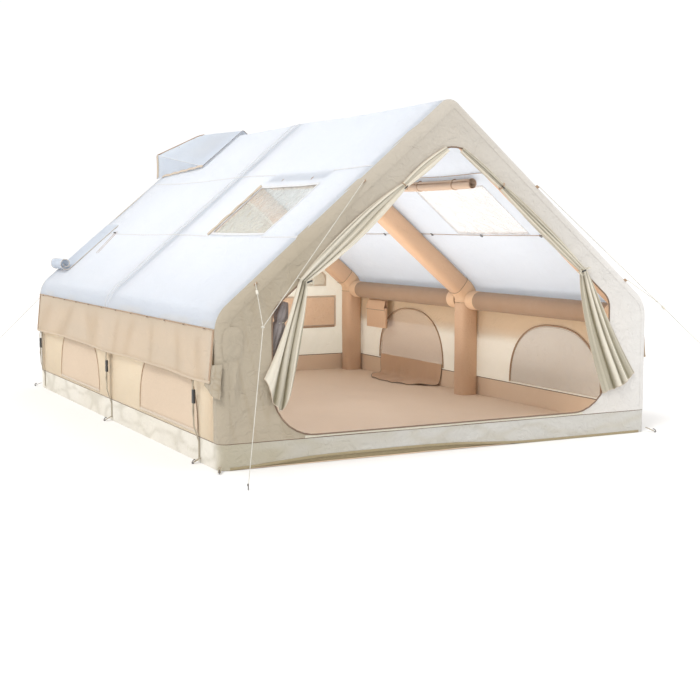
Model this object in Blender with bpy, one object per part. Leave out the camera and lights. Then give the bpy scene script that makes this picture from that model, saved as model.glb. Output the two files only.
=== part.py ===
# Inflatable ridge tent: air arches and purlins inside a sewn cloth body, with skylights,
# arched side windows, a tied back doorway, a rear ridge vent, guy lines and buckles.
# Metres, +Z up, front gable towards -Y, origin at the middle of the floor's underside.

import bpy
import bmesh
from math import atan, ceil, cos, hypot, pi, sin, sqrt, tan
from mathutils import Matrix, Vector

# Overall size
HALF_WIDTH = 1.5
HALF_LENGTH = 2.1
RIDGE_PEAK = 2.125
EAVE_PEAK = 0.86
EAVE_RADIUS = 0.20
RIDGE_RADIUS = 0.07
EAVE_CHORDS = 4
RIDGE_CHORDS = 1

# Cloth, film and clearances
CLOTH = 0.003
FILM = 0.001
GAP = 0.0003
OVERRUN = 0.05
SEAM = 0.012

# Floor tub
TUB_HEIGHT = 0.15
FLOOR_THICK = 0.004

# Air frame
ARCH_DEPTH = 0.16
ARCH_WIDTH = 0.16
ARCH_CORNER = 0.055
CORNER_STEPS = 3
PURLIN_RADIUS = 0.073
CUFF_RADIUS = 0.0757
CUFF_LENGTH = 0.055
NECK_RADIUS = 0.069
NECK_LENGTH = 0.014
PURLIN_ROUND = 0.012
PURLIN_HEIGHT = 0.765
PURLIN_SIDES = 16

# Sewn body
LAP = 0.03
WALL_TOP_REACH = 0.1
VALANCE_BOTTOM = 0.485
VALANCE_FLARE = 0.031

# Doorway
DOOR_FROM_WALL = 0.32
DOOR_BAND = 0.185
DOOR_UNDERCUT = 0.010
DOOR_FOOT_RADIUS = 0.27
DOOR_KNEE_RADIUS = 0.12
DOOR_APEX_RADIUS = 0.2
FILLET_STEPS = 5

# Back wall
GABLE_SEAM_HEIGHT = 0.80
GABLE_CORNER = 0.05
BACK_WINDOW_FROM_WALL = 0.22
BACK_WINDOW_LOW = 0.42
BACK_WINDOW_HIGH = 0.69
BACK_WINDOW_CORNER = 0.02

# Side windows: where each one's middle lies along the wall
WINDOW_HALF = 0.54
WINDOW_LOW = 0.18
WINDOW_RISE = 0.43
WINDOW_BULGE_SHARE = 2.4
WINDOW_POINTS = 18
WINDOW_LEFT_FRONT = -1.21
WINDOW_LEFT_BACK = 0.84
WINDOW_RIGHT_FRONT = -1.08
WINDOW_RIGHT_BACK = 1.03
ZIP_WIDTH = 0.014
ZIP_HEIGHT = 0.002
DRAPE_REACH = 0.24
DRAPE_BEND = 0.03
DRAPE_ROWS = 12
DRAPE_COLUMNS = 8
DRAPE_TIP_SHARE = 0.98

# Skylights and their rolled covers
SKYLIGHT_TOP_FROM_WALL = 0.90
SKYLIGHT_FOOT_FROM_WALL = 0.53
SKYLIGHT_FRONT = -1.50
SKYLIGHT_BACK = -0.60
ROLL_RADIUS = 0.04
ROLL_CORE = 0.012
ROLL_WIND_SHARE = 2.25
ROLL_STEPS = 10
SKYLIGHT_ROLL_FROM_WALL = 0.955

# Ridge vent
VENT_HALF = 0.28
VENT_FRONT = 1.38
VENT_BACK = 1.84
HOOD_FRONT = 1.2
HOOD_OVERHANG = 0.035
HOOD_FRONT_HALF = 0.354
HOOD_BACK_HALF = 0.436
HOOD_SEAT = 0.0045
HOOD_SIDE_RISE = 0.20
HOOD_TOP_RISE = 0.035
HOOD_STATIONS = 3
PROP_PLACE = 0.25
PROP_FROM_BACK = 0.07
PROP_RADIUS = 0.004
PROP_BALL = 0.007
PROP_SIDES = 10
PROP_BALL_SHARES = (-0.45, -0.25, 0, 0.25)

# Rear flap with its curled end
FLAP_TOP_FROM_WALL = 0.59
FLAP_LEAVES_FROM_WALL = 0.145
FLAP_FRONT = 1.70
FLAP_BACK = 2.03
FLAP_ROLL_RADIUS = 0.055
FLAP_WIND_SHARE = 1.6

# Tied curtains: spine heights and widths
CURTAIN_TOP = 0.05
CURTAIN_TIE_LEFT_FROM_WALL = 0.511
CURTAIN_TIE_RIGHT_FROM_WALL = 0.543
CURTAIN_FOOT_LEFT_FROM_WALL = 0.34
CURTAIN_FOOT_RIGHT_FROM_WALL = 0.235
CURTAIN_FOOT_LEFT_HEIGHT = 0.17
CURTAIN_FOOT_RIGHT_HEIGHT = 0.27
CURTAIN_BELLY_LEFT_FROM_WALL = 0.445
CURTAIN_BELLY_RIGHT_FROM_WALL = 0.40
CURTAIN_BELLY_HEIGHT = 0.62
CURTAIN_TOP_HALF = 0.02
CURTAIN_SLOPE_HALF = 0.05
CURTAIN_WAIST_HALF = 0.03
CURTAIN_FOOT_HALF_LEFT = 0.125
CURTAIN_FOOT_HALF_RIGHT = 0.155
CURTAIN_SLOPE_DEEP = 0.032
CURTAIN_WAIST_DEEP = 0.034
CURTAIN_FOOT_DEEP = 0.055
CURTAIN_FOLDS = 5
CURTAIN_FRONT_POINTS = 24
CURTAIN_UPPER_STATIONS = 12
CURTAIN_LOWER_STATIONS = 14
CURTAIN_HEM_SHARE = 0.14
CURTAIN_BODY_SHARE = 0.36
CURTAIN_WAVE_SHARE = 0.5
CURTAIN_SWING_SHARE = 0.3
CURTAIN_SWAY_SHARE = 0.12
CURTAIN_DIP_SHARE = 4
CURTAIN_SWELL_SHARES = (0.8, 0.7)
CURTAIN_FAN_SHARE = 0.75
TIE_LEAN_SHARE = 1.25
TIE_THICK = 0.0015
TIE_HEIGHT = 0.014
TIE_FIT = 0.01
TIE_SIDE_FIT = 0.02
TIE_SQUARE_SHARE = 0.3
TIE_SIDES = 24

# Storage pocket under the right rear purlin
POCKET_MIDDLE = 1.515
POCKET_HALF = 0.18
POCKET_DEEP = 0.03
POCKET_LOW = 0.436
POCKET_MOUTH = 0.62
POCKET_CORNER = 0.012
POCKET_FLAP_DROP = 0.085
POCKET_FLAP_OUT = 0.002

# Inflation valve on the front left leg
VALVE_FROM_WALL = 0.083
VALVE_HEIGHT = 0.74
VALVE_FLANGE = 0.032
VALVE_BARREL = 0.024
VALVE_BORE = 0.018
VALVE_DEEP = 0.022
VALVE_PROUD = 0.006
VALVE_WALL = 0.003
VALVE_RECESS_FIT = 0.001
VALVE_GUIDE = 0.0036
VALVE_STEM = 0.0032
VALVE_STEM_LENGTH = 0.007
VALVE_BUTTON = 0.009
VALVE_BUTTON_THICK = 0.003
VALVE_TRAVEL = 0.004
VALVE_SIDES = 24
CAP_RADIUS = 0.028
CAP_THICK = 0.005
CAP_LOBES = 8
CAP_LOBE_DEEP = 0.0012
CAP_LOBE_POINTS = 6
CAP_EDGE_SHARE = 0.9
VALVE_FLAP_HALF = 0.062
VALVE_FLAP_TOP = 0.805
VALVE_FLAP_LOW = 0.60
VALVE_FLAP_CLEAR = 0.0025
VALVE_FLAP_SLANT = 0.03

# Buckles that hold the valance down
STRAP_HALF = 0.0125
STRAP_THICK = 0.002
STRAP_FOOT = 0.02
STRAP_BEND = 0.12
STRAP_STRAIGHT = 0.22
STRAP_TOP = 0.350
STRAP_LAP = 0.03
SOCKET_HALF = 0.018
SOCKET_DEEP = 0.014
SOCKET_LOW = 0.385
SOCKET_HIGH = 0.425
SOCKET_MOUTH_HALF = 0.014
SOCKET_MOUTH_DEEP = 0.009
SOCKET_MOUTH_REACH = 0.028
PLUG_HALF = 0.016
PLUG_DEEP = 0.012
PLUG_LOW = 0.345
PLUG_SLOT_END = 0.382
PLUG_SLOT_FIT = 0.0005
PRONG_HALF = 0.013
PRONG_WIDTH = 0.004
PRONG_REACH = 0.02
PRONG_DEEP = 0.006
BUCKLE_FRONT = -1.771
BUCKLE_MIDDLE = -0.006
BUCKLE_BACK = 1.95

# Guy lines, pegs and runners
CORD_RADIUS = 0.00225
CORD_POINTS = 7
TAB_HALF = 0.0125
TAB_LENGTH = 0.018
TAB_THICK = 0.003
TAB_SUNK = 0.0012
TAB_LEFT_LOW_FROM_WALL = 0.22
TAB_LEFT_HIGH_FROM_WALL = 0.90
TAB_RIGHT_HIGH_FROM_WALL = 0.88
TAB_RIGHT_LOW_FROM_WALL = 0.18
TAB_REAR_HEIGHT = 0.75
KNOT_RADIUS = 0.007
KNOT_SHARES = (-0.4, -0.2, 0, 0.2, 0.4)
KNOT_LEFT_FROM_WALL = 0.2083
KNOT_LEFT_FORWARD = 0.1336
KNOT_LEFT_HEIGHT = 0.8068
PEG_LEFT_OUT = 0.044
PEG_LEFT_FORWARD = 0.517
PEG_RIGHT_OUT = 0.789
PEG_RIGHT_FORWARD = 0.500
PEG_REAR_OUT = 0.750
PEG_REAR_BACK = 0.050
PEG_HEIGHT = 0.034
PEG_RADIUS = 0.003
PEG_HOOK = 0.008
PEG_HOOK_STEPS = 6
CORD_LOW_END = 0.012
RIGHT_JOIN_SHARE = 0.456
RUNNER_RADIUS = 0.008
RUNNER_LENGTH = 0.024
RUNNER_FIT = 0.0005
RUNNER_SIDES = 12
RUNNER_LEFT_FROM_TAB = 0.06
RUNNER_RIGHT_FROM_JOIN = 0.06

# Finish of each kind of piece: colour and roughness
ROOF_WHITE = ((0.86, 0.88, 0.90), 0.8)
BODY_BEIGE = ((0.72, 0.67, 0.58), 0.85)
CURTAIN_GREY = ((0.66, 0.63, 0.53), 0.85)
WALL_CREAM = ((0.84, 0.78, 0.66), 0.85)
FLOOR_TAN = ((0.76, 0.65, 0.55), 0.7)
BEAM_TAN = ((0.62, 0.42, 0.27), 0.75)
MESH_SAND = ((0.72, 0.62, 0.48), 0.9)
MESH_GREEN = ((0.62, 0.63, 0.50), 0.9)
FILM_CLEAR = ((0.80, 0.82, 0.80), 0.2)
PLASTIC_BLACK = ((0.03, 0.03, 0.03), 0.45)
PLASTIC_GREY = ((0.62, 0.60, 0.55), 0.5)
CORD_CREAM = ((0.85, 0.82, 0.74), 0.8)
STEEL_DARK = ((0.18, 0.17, 0.16), 0.4)

SLOPE = (RIDGE_PEAK - EAVE_PEAK) / HALF_WIDTH
SLOPE_ANGLE = atan(SLOPE)
NORMAL_ANGLE = pi / 2 - SLOPE_ANGLE
EAVE_CENTRE = EAVE_PEAK - EAVE_RADIUS * tan(NORMAL_ANGLE / 2)
RIDGE_CENTRE = RIDGE_PEAK - RIDGE_RADIUS / cos(SLOPE_ANGLE)
BASE = TUB_HEIGHT + GAP
CORNER_ROUND = ARCH_CORNER + CLOTH + GAP
SKIN = CLOTH + GAP
ARCH_END = HALF_LENGTH - SKIN - ARCH_WIDTH / 2
PURLIN_PLACE = HALF_WIDTH - SKIN - CUFF_RADIUS
ROOF_END = HALF_LENGTH - CORNER_ROUND
WALL_END = ROOF_END - LAP - GAP
BUCKLE_PLACE = HALF_WIDTH + VALANCE_FLARE
DOOR_HALF = HALF_WIDTH - DOOR_FROM_WALL
BACK_WINDOW_HALF = HALF_WIDTH - BACK_WINDOW_FROM_WALL
SKYLIGHT_TOP = HALF_WIDTH - SKYLIGHT_TOP_FROM_WALL
SKYLIGHT_FOOT = HALF_WIDTH - SKYLIGHT_FOOT_FROM_WALL
SKYLIGHT_ROLL_PLACE = HALF_WIDTH - SKYLIGHT_ROLL_FROM_WALL
FLAP_TOP = HALF_WIDTH - FLAP_TOP_FROM_WALL
FLAP_LEAVES = HALF_WIDTH - FLAP_LEAVES_FROM_WALL
CURTAIN_TIE_LEFT = HALF_WIDTH - CURTAIN_TIE_LEFT_FROM_WALL
CURTAIN_TIE_RIGHT = HALF_WIDTH - CURTAIN_TIE_RIGHT_FROM_WALL
CURTAIN_FOOT_LEFT = (HALF_WIDTH - CURTAIN_FOOT_LEFT_FROM_WALL, CURTAIN_FOOT_LEFT_HEIGHT)
CURTAIN_FOOT_RIGHT = (HALF_WIDTH - CURTAIN_FOOT_RIGHT_FROM_WALL, CURTAIN_FOOT_RIGHT_HEIGHT)
CURTAIN_BELLY_LEFT = HALF_WIDTH - CURTAIN_BELLY_LEFT_FROM_WALL
CURTAIN_BELLY_RIGHT = HALF_WIDTH - CURTAIN_BELLY_RIGHT_FROM_WALL
VALVE_PLACE = (VALVE_FROM_WALL - HALF_WIDTH, VALVE_HEIGHT)
TAB_LEFT_LOW = HALF_WIDTH - TAB_LEFT_LOW_FROM_WALL
TAB_LEFT_HIGH = HALF_WIDTH - TAB_LEFT_HIGH_FROM_WALL
TAB_RIGHT_HIGH = HALF_WIDTH - TAB_RIGHT_HIGH_FROM_WALL
TAB_RIGHT_LOW = HALF_WIDTH - TAB_RIGHT_LOW_FROM_WALL
KNOT_LEFT = (KNOT_LEFT_FROM_WALL - HALF_WIDTH, -HALF_LENGTH - KNOT_LEFT_FORWARD, KNOT_LEFT_HEIGHT)
PEG_LEFT = (-HALF_WIDTH - PEG_LEFT_OUT, -HALF_LENGTH - PEG_LEFT_FORWARD)
PEG_RIGHT = (HALF_WIDTH + PEG_RIGHT_OUT, -HALF_LENGTH - PEG_RIGHT_FORWARD)
PEG_REAR = (-HALF_WIDTH - PEG_REAR_OUT, HALF_LENGTH + PEG_REAR_BACK)


def clear_scene():
    """Start from an empty scene."""
    for old in list(bpy.data.objects):
        bpy.data.objects.remove(old, do_unlink=True)


def material(name, finish):
    """A plain material of one colour and roughness, called after its piece."""
    colour, roughness = finish
    made = bpy.data.materials.new(name)
    made.use_nodes = True
    shader = made.node_tree.nodes["Principled BSDF"]
    shader.inputs["Base Color"].default_value = (*colour, 1.0)
    shader.inputs["Roughness"].default_value = roughness
    shader.inputs["Metallic"].default_value = 0.0
    return made


def solid(name, vertices, faces, finish, pivot=(0, 0, 0)):
    """A closed mesh as one object, whose origin is at the pivot."""
    bm = bmesh.new()
    made = [bm.verts.new(Vector(point) - Vector(pivot)) for point in vertices]
    for face in faces:
        bm.faces.new([made[index] for index in face])
    bmesh.ops.remove_doubles(bm, verts=bm.verts, dist=GAP * GAP)
    bmesh.ops.recalc_face_normals(bm, faces=bm.faces)
    mesh = bpy.data.meshes.new(name)
    bm.to_mesh(mesh)
    bm.free()
    return place(name, mesh, finish, pivot)


def place(name, mesh, finish, pivot=(0, 0, 0)):
    """Link a mesh into the scene under its piece's name."""
    item = bpy.data.objects.new(name, mesh)
    item.location = pivot
    bpy.context.scene.collection.objects.link(item)
    if finish:
        mesh.materials.append(material(name, finish))
    return item


def boolean(target, tool, operation):
    """Cut or join with a hidden tool."""
    tool.hide_render = True
    tool.display_type = "WIRE"
    step = target.modifiers.new(tool.name, "BOOLEAN")
    step.operation = operation
    step.object = tool


def cut(target, tool):
    boolean(target, tool, "DIFFERENCE")


def join(target, tool):
    boolean(target, tool, "UNION")


def loft_data(rings, closed=False):
    """Vertices and faces of a tube through closed rings, capped unless it closes on itself."""
    count = len(rings[0])
    vertices = [point for ring in rings for point in ring]
    faces = []
    spans = len(rings) if closed else len(rings) - 1
    for i in range(spans):
        low, high = i * count, (i + 1) % len(rings) * count
        for j in range(count):
            k = (j + 1) % count
            faces.append((low + j, low + k, high + k, high + j))
    if not closed:
        faces.append(tuple(range(count)))
        faces.append(tuple(range(len(vertices) - count, len(vertices))))
    return vertices, faces


def loft(name, rings, finish, pivot=(0, 0, 0), closed=False):
    vertices, faces = loft_data(rings, closed)
    return solid(name, vertices, faces, finish, pivot)


def skin_between(name, outside, inside, finish):
    """A sheet between two rows-and-columns layers, split into triangles alike, mirrored at the middle."""
    rows, count = len(outside), len(outside[0])
    vertices = [point for row in outside + inside for point in row]
    shift = rows * count
    faces = []
    for i in range(rows - 1):
        for j in range(count - 1):
            a, b = i * count + j, i * count + j + 1
            c, d = b + count, a + count
            pair = ((a, b, c), (a, c, d)) if j < count // 2 else ((a, b, d), (b, c, d))
            faces += list(pair) + [tuple(shift + index for index in face) for face in pair]
    for i in (0, rows - 1):
        for j in range(count - 1):
            a = i * count + j
            faces.append((a, a + 1, shift + a + 1, shift + a))
    for j in (0, count - 1):
        for i in range(rows - 1):
            a = i * count + j
            faces.append((a, a + count, shift + a + count, shift + a))
    return solid(name, vertices, faces, finish)


def prism_y(name, outline, low, high, finish, pivot=(0, 0, 0)):
    """An outline in X and Z, carried along Y."""
    rings = [[(x, y, z) for x, z in outline] for y in (low, high)]
    return loft(name, rings, finish, pivot)


def prism_x(name, outline, low, high, finish, pivot=(0, 0, 0)):
    """An outline in Y and Z, carried along X."""
    rings = [[(x, y, z) for y, z in outline] for x in (low, high)]
    return loft(name, rings, finish, pivot)


def box(name, low, high, finish=None, pivot=(0, 0, 0)):
    outline = [(low[0], low[2]), (high[0], low[2]), (high[0], high[2]), (low[0], high[2])]
    return prism_y(name, outline, low[1], high[1], finish, pivot)


def turned(name, profile, sides, centre, axis, finish, pivot=(0, 0, 0)):
    """A profile of (distance along the axis, radius) turned round an axis."""
    along = Vector(axis).normalized()
    first = along.orthogonal().normalized()
    second = along.cross(first)
    rings = []
    for distance, radius in profile:
        middle = Vector(centre) + along * distance
        ring = []
        for i in range(sides):
            turn = 2 * pi * i / sides
            ring.append(middle + (first * cos(turn) + second * sin(turn)) * radius)
        rings.append(ring)
    return loft(name, rings, finish, pivot)


def ring_of(name, profile, sides, centre, axis, finish, pivot=(0, 0, 0)):
    """A closed profile turned round an axis, with an open middle."""
    along = Vector(axis).normalized()
    first = along.orthogonal().normalized()
    second = along.cross(first)
    rings = []
    for i in range(sides):
        turn = 2 * pi * i / sides
        out = first * cos(turn) + second * sin(turn)
        rings.append([Vector(centre) + along * d + out * r for d, r in profile])
    return loft(name, rings, finish, pivot, closed=True)


def offset_line(points, distance):
    """Move an open line of (x, z) points to its right by a distance, with mitred corners."""
    normals = []
    for (x0, z0), (x1, z1) in zip(points, points[1:]):
        length = hypot(x1 - x0, z1 - z0)
        normals.append(((z1 - z0) / length, (x0 - x1) / length))
    moved = []
    for i, (x, z) in enumerate(points):
        before = normals[max(i - 1, 0)]
        after = normals[min(i, len(normals) - 1)]
        mx, mz = before[0] + after[0], before[1] + after[1]
        size = hypot(mx, mz)
        mx, mz = mx / size, mz / size
        reach = distance / (mx * before[0] + mz * before[1])
        moved.append((x + mx * reach, z + mz * reach))
    return moved


def strip(points, near, far):
    """The closed outline of a sheet that follows a line, from one offset to another."""
    return offset_line(points, near) + offset_line(points, far)[::-1]


def mirrored(points):
    return [(-x, z) for x, z in points]


def right_side():
    """The body's right half, from the ridge's middle down to the eave fold."""
    points = []
    for i in range(RIDGE_CHORDS + 1):
        turn = pi / 2 - (pi / 2 - NORMAL_ANGLE) * i / RIDGE_CHORDS
        points.append((RIDGE_RADIUS * cos(turn), RIDGE_CENTRE + RIDGE_RADIUS * sin(turn)))
    for i in range(EAVE_CHORDS + 1):
        turn = NORMAL_ANGLE * (1 - i / EAVE_CHORDS)
        points.append((
            HALF_WIDTH - EAVE_RADIUS + EAVE_RADIUS * cos(turn),
            EAVE_CENTRE + EAVE_RADIUS * sin(turn),
        ))
    return points


def body_line(base):
    """The whole body's outline from the left wall's foot over the ridge to the right one's."""
    half = right_side() + [(HALF_WIDTH, base)]
    return mirrored(half)[::-1] + half[1:]


def slope_point(x, lift=0):
    """A point on the right roof slope, lifted square to it."""
    return (
        x + lift * sin(SLOPE_ANGLE),
        RIDGE_PEAK - SLOPE * x + lift * cos(SLOPE_ANGLE),
    )


def corner_arc(steps=CORNER_STEPS):
    """Shares of a quarter turn, as cosine and sine."""
    return [(cos(pi / 2 * i / steps), sin(pi / 2 * i / steps)) for i in range(steps + 1)]


def fillet(corners, steps=FILLET_STEPS):
    """A closed outline whose corners of (x, z, radius) are rounded by arcs."""
    points = []
    for i, (x, z, radius) in enumerate(corners):
        x0, z0, _ = corners[i - 1]
        x1, z1, _ = corners[(i + 1) % len(corners)]
        a = Vector((x0 - x, z0 - z)).normalized()
        b = Vector((x1 - x, z1 - z)).normalized()
        half = a.angle(b) / 2
        centre = Vector((x, z)) + (a + b).normalized() * (radius / sin(half))
        start = Vector((x, z)) + a * (radius / tan(half)) - centre
        finish = Vector((x, z)) + b * (radius / tan(half)) - centre
        turn = start.angle_signed(finish)
        for j in range(steps + 1):
            spoke = start.copy()
            spoke.rotate(Matrix.Rotation(-turn * j / steps, 2))
            points.append(tuple(centre + spoke))
    return points


def rounded_box(half_x, half_y, radius, z, centre=(0, 0)):
    """A level ring with round corners."""
    ring = []
    for quarter in range(4):
        sx = (1, -1, -1, 1)[quarter]
        sy = (1, 1, -1, -1)[quarter]
        arc = corner_arc() if quarter % 2 == 0 else corner_arc()[::-1]
        for c, s in arc:
            x = sx * (half_x - radius + radius * c)
            y = sy * (half_y - radius + radius * s)
            ring.append((centre[0] + x, centre[1] + y, z))
    return ring


def make_tub():
    """The floor and its upturned edge, with the six webbing straps that rise to the buckles."""
    inner_x, inner_y = HALF_WIDTH - CLOTH, HALF_LENGTH - CLOTH
    inner_round = CORNER_ROUND - CLOTH
    tub = loft("floor_tub", [
        rounded_box(HALF_WIDTH, HALF_LENGTH, CORNER_ROUND, 0),
        rounded_box(HALF_WIDTH, HALF_LENGTH, CORNER_ROUND, TUB_HEIGHT),
        rounded_box(inner_x, inner_y, inner_round, TUB_HEIGHT),
        rounded_box(inner_x, inner_y, inner_round, FLOOR_THICK),
    ], FLOOR_TAN)
    line = [
        (HALF_WIDTH, STRAP_FOOT),
        (HALF_WIDTH, STRAP_BEND),
        (BUCKLE_PLACE, STRAP_STRAIGHT),
        (BUCKLE_PLACE, STRAP_TOP),
    ]
    for side in (-1, 1):
        for tag, y in (("front", BUCKLE_FRONT), ("middle", BUCKLE_MIDDLE), ("back", BUCKLE_BACK)):
            outline = strip(line, -STRAP_THICK / 2, STRAP_THICK / 2)
            outline = [(side * x, z) for x, z in outline]
            strap = prism_y(f"strap_{side}_{tag}", outline, y - STRAP_HALF, y + STRAP_HALF, None)
            join(tub, strap)
    return tub


def make_arch(name, middle):
    """One air arch: a round cornered square tube with mitred knees and a ridge mitre."""
    line = offset_line(body_line(FLOOR_THICK + GAP), SKIN)
    half = len(line) // 2
    ends = [0, 1, 1 + EAVE_CHORDS // 2, 1 + EAVE_CHORDS]
    kept = ends + list(range(half - RIDGE_CHORDS, half + RIDGE_CHORDS + 1))
    kept = kept + [len(line) - 1 - i for i in ends[::-1]]
    line = [line[i] for i in kept]
    flat = ARCH_WIDTH / 2 - ARCH_CORNER
    arc = corner_arc()
    section = [(ARCH_CORNER * (1 - s), flat + ARCH_CORNER * c) for c, s in arc[::-1]]
    section += [(ARCH_DEPTH - ARCH_CORNER * (1 - s), flat + ARCH_CORNER * c) for c, s in arc]
    section += [(depth, -y) for depth, y in section[::-1]]
    columns = []
    for depth, y in section:
        moved = offset_line(line, depth)
        peak = RIDGE_PEAK - (SKIN + depth) / cos(SLOPE_ANGLE)
        column = []
        for i, (x, z) in enumerate(moved):
            want = (i > len(line) // 2) - (i < len(line) // 2)
            if x * want < 0 or want == 0:
                x, z = 0, min(z, peak) if want == 0 else peak
            column.append((x, middle + y, z))
        columns.append(column)
    rings = [[column[i] for column in columns] for i in range(len(line))]
    return loft(name, rings, BEAM_TAN)


def make_purlin(name, side, low, high):
    """A round air beam at the eave between two arches, with a sewn cuff at each end."""
    length = high - low
    end = [
        (0, CUFF_RADIUS - PURLIN_ROUND),
        (PURLIN_ROUND / 2, CUFF_RADIUS),
        (CUFF_LENGTH, CUFF_RADIUS),
        (CUFF_LENGTH + NECK_LENGTH / 2, NECK_RADIUS),
        (CUFF_LENGTH + NECK_LENGTH * 2, PURLIN_RADIUS),
    ]
    profile = end + [(length - d, r) for d, r in end[::-1]]
    start = (side * PURLIN_PLACE, low, PURLIN_HEIGHT)
    return turned(name, profile, PURLIN_SIDES, start, (0, 1, 0), BEAM_TAN)


def make_gable(name, facing, finish):
    """An end wall: a flat panel, a quarter round over the arch's edge, and a lap under the roof."""
    stations = [(0, LAP + CORNER_ROUND), (0, CORNER_ROUND)]
    for c, s in corner_arc()[::-1][1:]:
        stations.append((CORNER_ROUND * (1 - s), CORNER_ROUND * (1 - c)))
    inner_round = CORNER_ROUND - CLOTH
    inner = [(CLOTH, LAP + CORNER_ROUND), (CLOTH, CORNER_ROUND)]
    for c, s in corner_arc()[::-1][1:]:
        inner.append((CORNER_ROUND - inner_round * s, CORNER_ROUND - inner_round * c))
    line = body_line(BASE)
    count = len(line)

    def ring(depth, back):
        y = facing * (HALF_LENGTH - back)
        return [(x, y, z) for x, z in offset_line(line, depth)]

    rows = [ring(*station) for station in stations] + [ring(*station) for station in inner]
    vertices = [point for row in rows for point in row]
    half = len(stations)
    faces = []
    for layer in (0, half):
        for i in range(layer, layer + half - 1):
            for j in range(count - 1):
                a = i * count + j
                faces.append((a, a + 1, a + count + 1, a + count))
    for i in (half - 1, 2 * half - 1):
        faces.append(tuple(range(i * count, (i + 1) * count)))
    for j in range(count - 1):
        faces.append((j, j + 1, half * count + j + 1, half * count + j))
    for j in (0, count - 1):
        for i in range(half - 1):
            a, b = i * count + j, (half + i) * count + j
            faces.append((a, a + count, b + count, b))
    a, b = (half - 1) * count, (2 * half - 1) * count
    faces.append((a, a + count - 1, b + count - 1, b))
    return solid(name, vertices, faces, finish)


def doorway(grow=0):
    """The door's outline: slopes along the roof, upright jambs and round feet."""
    half = DOOR_HALF + grow
    peak = RIDGE_PEAK - (DOOR_BAND - grow) / cos(SLOPE_ANGLE)
    low = BASE - DOOR_UNDERCUT - grow
    return fillet([
        (-half, low, DOOR_FOOT_RADIUS),
        (half, low, DOOR_FOOT_RADIUS),
        (half, peak - SLOPE * half, DOOR_KNEE_RADIUS),
        (0, peak, DOOR_APEX_RADIUS),
        (-half, peak - SLOPE * half, DOOR_KNEE_RADIUS),
    ])


def gable_outline(grow=0):
    """The upper back panel's outline, above its level seam."""
    half = DOOR_HALF + grow
    peak = RIDGE_PEAK - (DOOR_BAND - grow) / cos(SLOPE_ANGLE)
    return fillet([
        (-half, GABLE_SEAM_HEIGHT - grow, GABLE_CORNER),
        (half, GABLE_SEAM_HEIGHT - grow, GABLE_CORNER),
        (half, peak - SLOPE * half, GABLE_CORNER),
        (0, peak, GABLE_CORNER),
        (-half, peak - SLOPE * half, GABLE_CORNER),
    ], steps=2)


def back_window_outline(grow=0):
    half = BACK_WINDOW_HALF + grow
    return fillet([
        (-half, BACK_WINDOW_LOW - grow, BACK_WINDOW_CORNER),
        (half, BACK_WINDOW_LOW - grow, BACK_WINDOW_CORNER),
        (half, BACK_WINDOW_HIGH + grow, BACK_WINDOW_CORNER),
        (-half, BACK_WINDOW_HIGH + grow, BACK_WINDOW_CORNER),
    ], steps=2)


def edge_tab(name, side, facing, x, height=None):
    """The tip, direction and block of a webbing tab on a gable's rounded edge."""
    if height is None:
        normal = Vector((side * sin(SLOPE_ANGLE), 0, cos(SLOPE_ANGLE)))
        px, pz = slope_point(x, -CORNER_ROUND)
        run = Vector((side * cos(SLOPE_ANGLE), 0, -sin(SLOPE_ANGLE)))
    else:
        normal = Vector((side, 0, 0))
        px, pz = HALF_WIDTH - CORNER_ROUND, height
        run = Vector((0, 0, 1))
    centre = Vector((side * px, facing * (HALF_LENGTH - CORNER_ROUND), pz))
    out = (normal + Vector((0, facing, 0))).normalized()
    surface = CORNER_ROUND * cos(pi / 4 / CORNER_STEPS)
    start = centre + out * (surface - TAB_SUNK)
    tip = centre + out * (surface + TAB_LENGTH)
    thin = out.cross(run).normalized()
    rings = []
    for point in (start, tip):
        corners = ((-1, -1), (1, -1), (1, 1), (-1, 1))
        ring = [point + run * TAB_HALF * a + thin * TAB_THICK / 2 * b for a, b in corners]
        rings.append(ring)
    return tip, out, loft(name, rings, None)


def make_ends():
    """Front sleeve with its doorway, and the back wall with its two panels."""
    front = make_gable("front_sleeve", -1, BODY_BEIGE)
    reach = HALF_LENGTH + OVERRUN
    cut(front, prism_y("door_cutter", doorway(), -reach, -HALF_LENGTH + OVERRUN, None))
    x, z = VALVE_PLACE
    hole = turned(
        "valve_hole", [(-OVERRUN / 2, VALVE_FLANGE + VALVE_RECESS_FIT),
                       (OVERRUN / 2, VALVE_FLANGE + VALVE_RECESS_FIT)],
        VALVE_SIDES, (x, -HALF_LENGTH, z), (0, 1, 0), None)
    cut(front, hole)
    back = make_gable("wall_back", 1, WALL_CREAM)
    low = HALF_LENGTH - OVERRUN
    cut(back, prism_y("gable_cutter", gable_outline(), low, reach, None))
    cut(back, prism_y("back_window_cutter", back_window_outline(), low, reach, None))
    inner = HALF_LENGTH - SKIN
    prism_y("gable_mesh", gable_outline(SEAM), inner - FILM, inner, MESH_GREEN)
    prism_y("back_window_panel", back_window_outline(SEAM), inner - FILM, inner, MESH_SAND)
    return front, back


def window_outline(middle, grow=0):
    """An arched window: a flat base and a rounded top, in Y and Z."""
    low = WINDOW_LOW - grow
    half, rise = WINDOW_HALF + grow, WINDOW_RISE + 2 * grow
    points = []
    for i in range(WINDOW_POINTS + 1):
        turn = pi * i / WINDOW_POINTS
        c, s = cos(turn), sin(turn)
        y = half * abs(c) ** (2 / WINDOW_BULGE_SHARE) * (1 if c >= 0 else -1)
        points.append((middle + y, low + rise * max(s, 0) ** (2 / WINDOW_BULGE_SHARE)))
    return points


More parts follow.
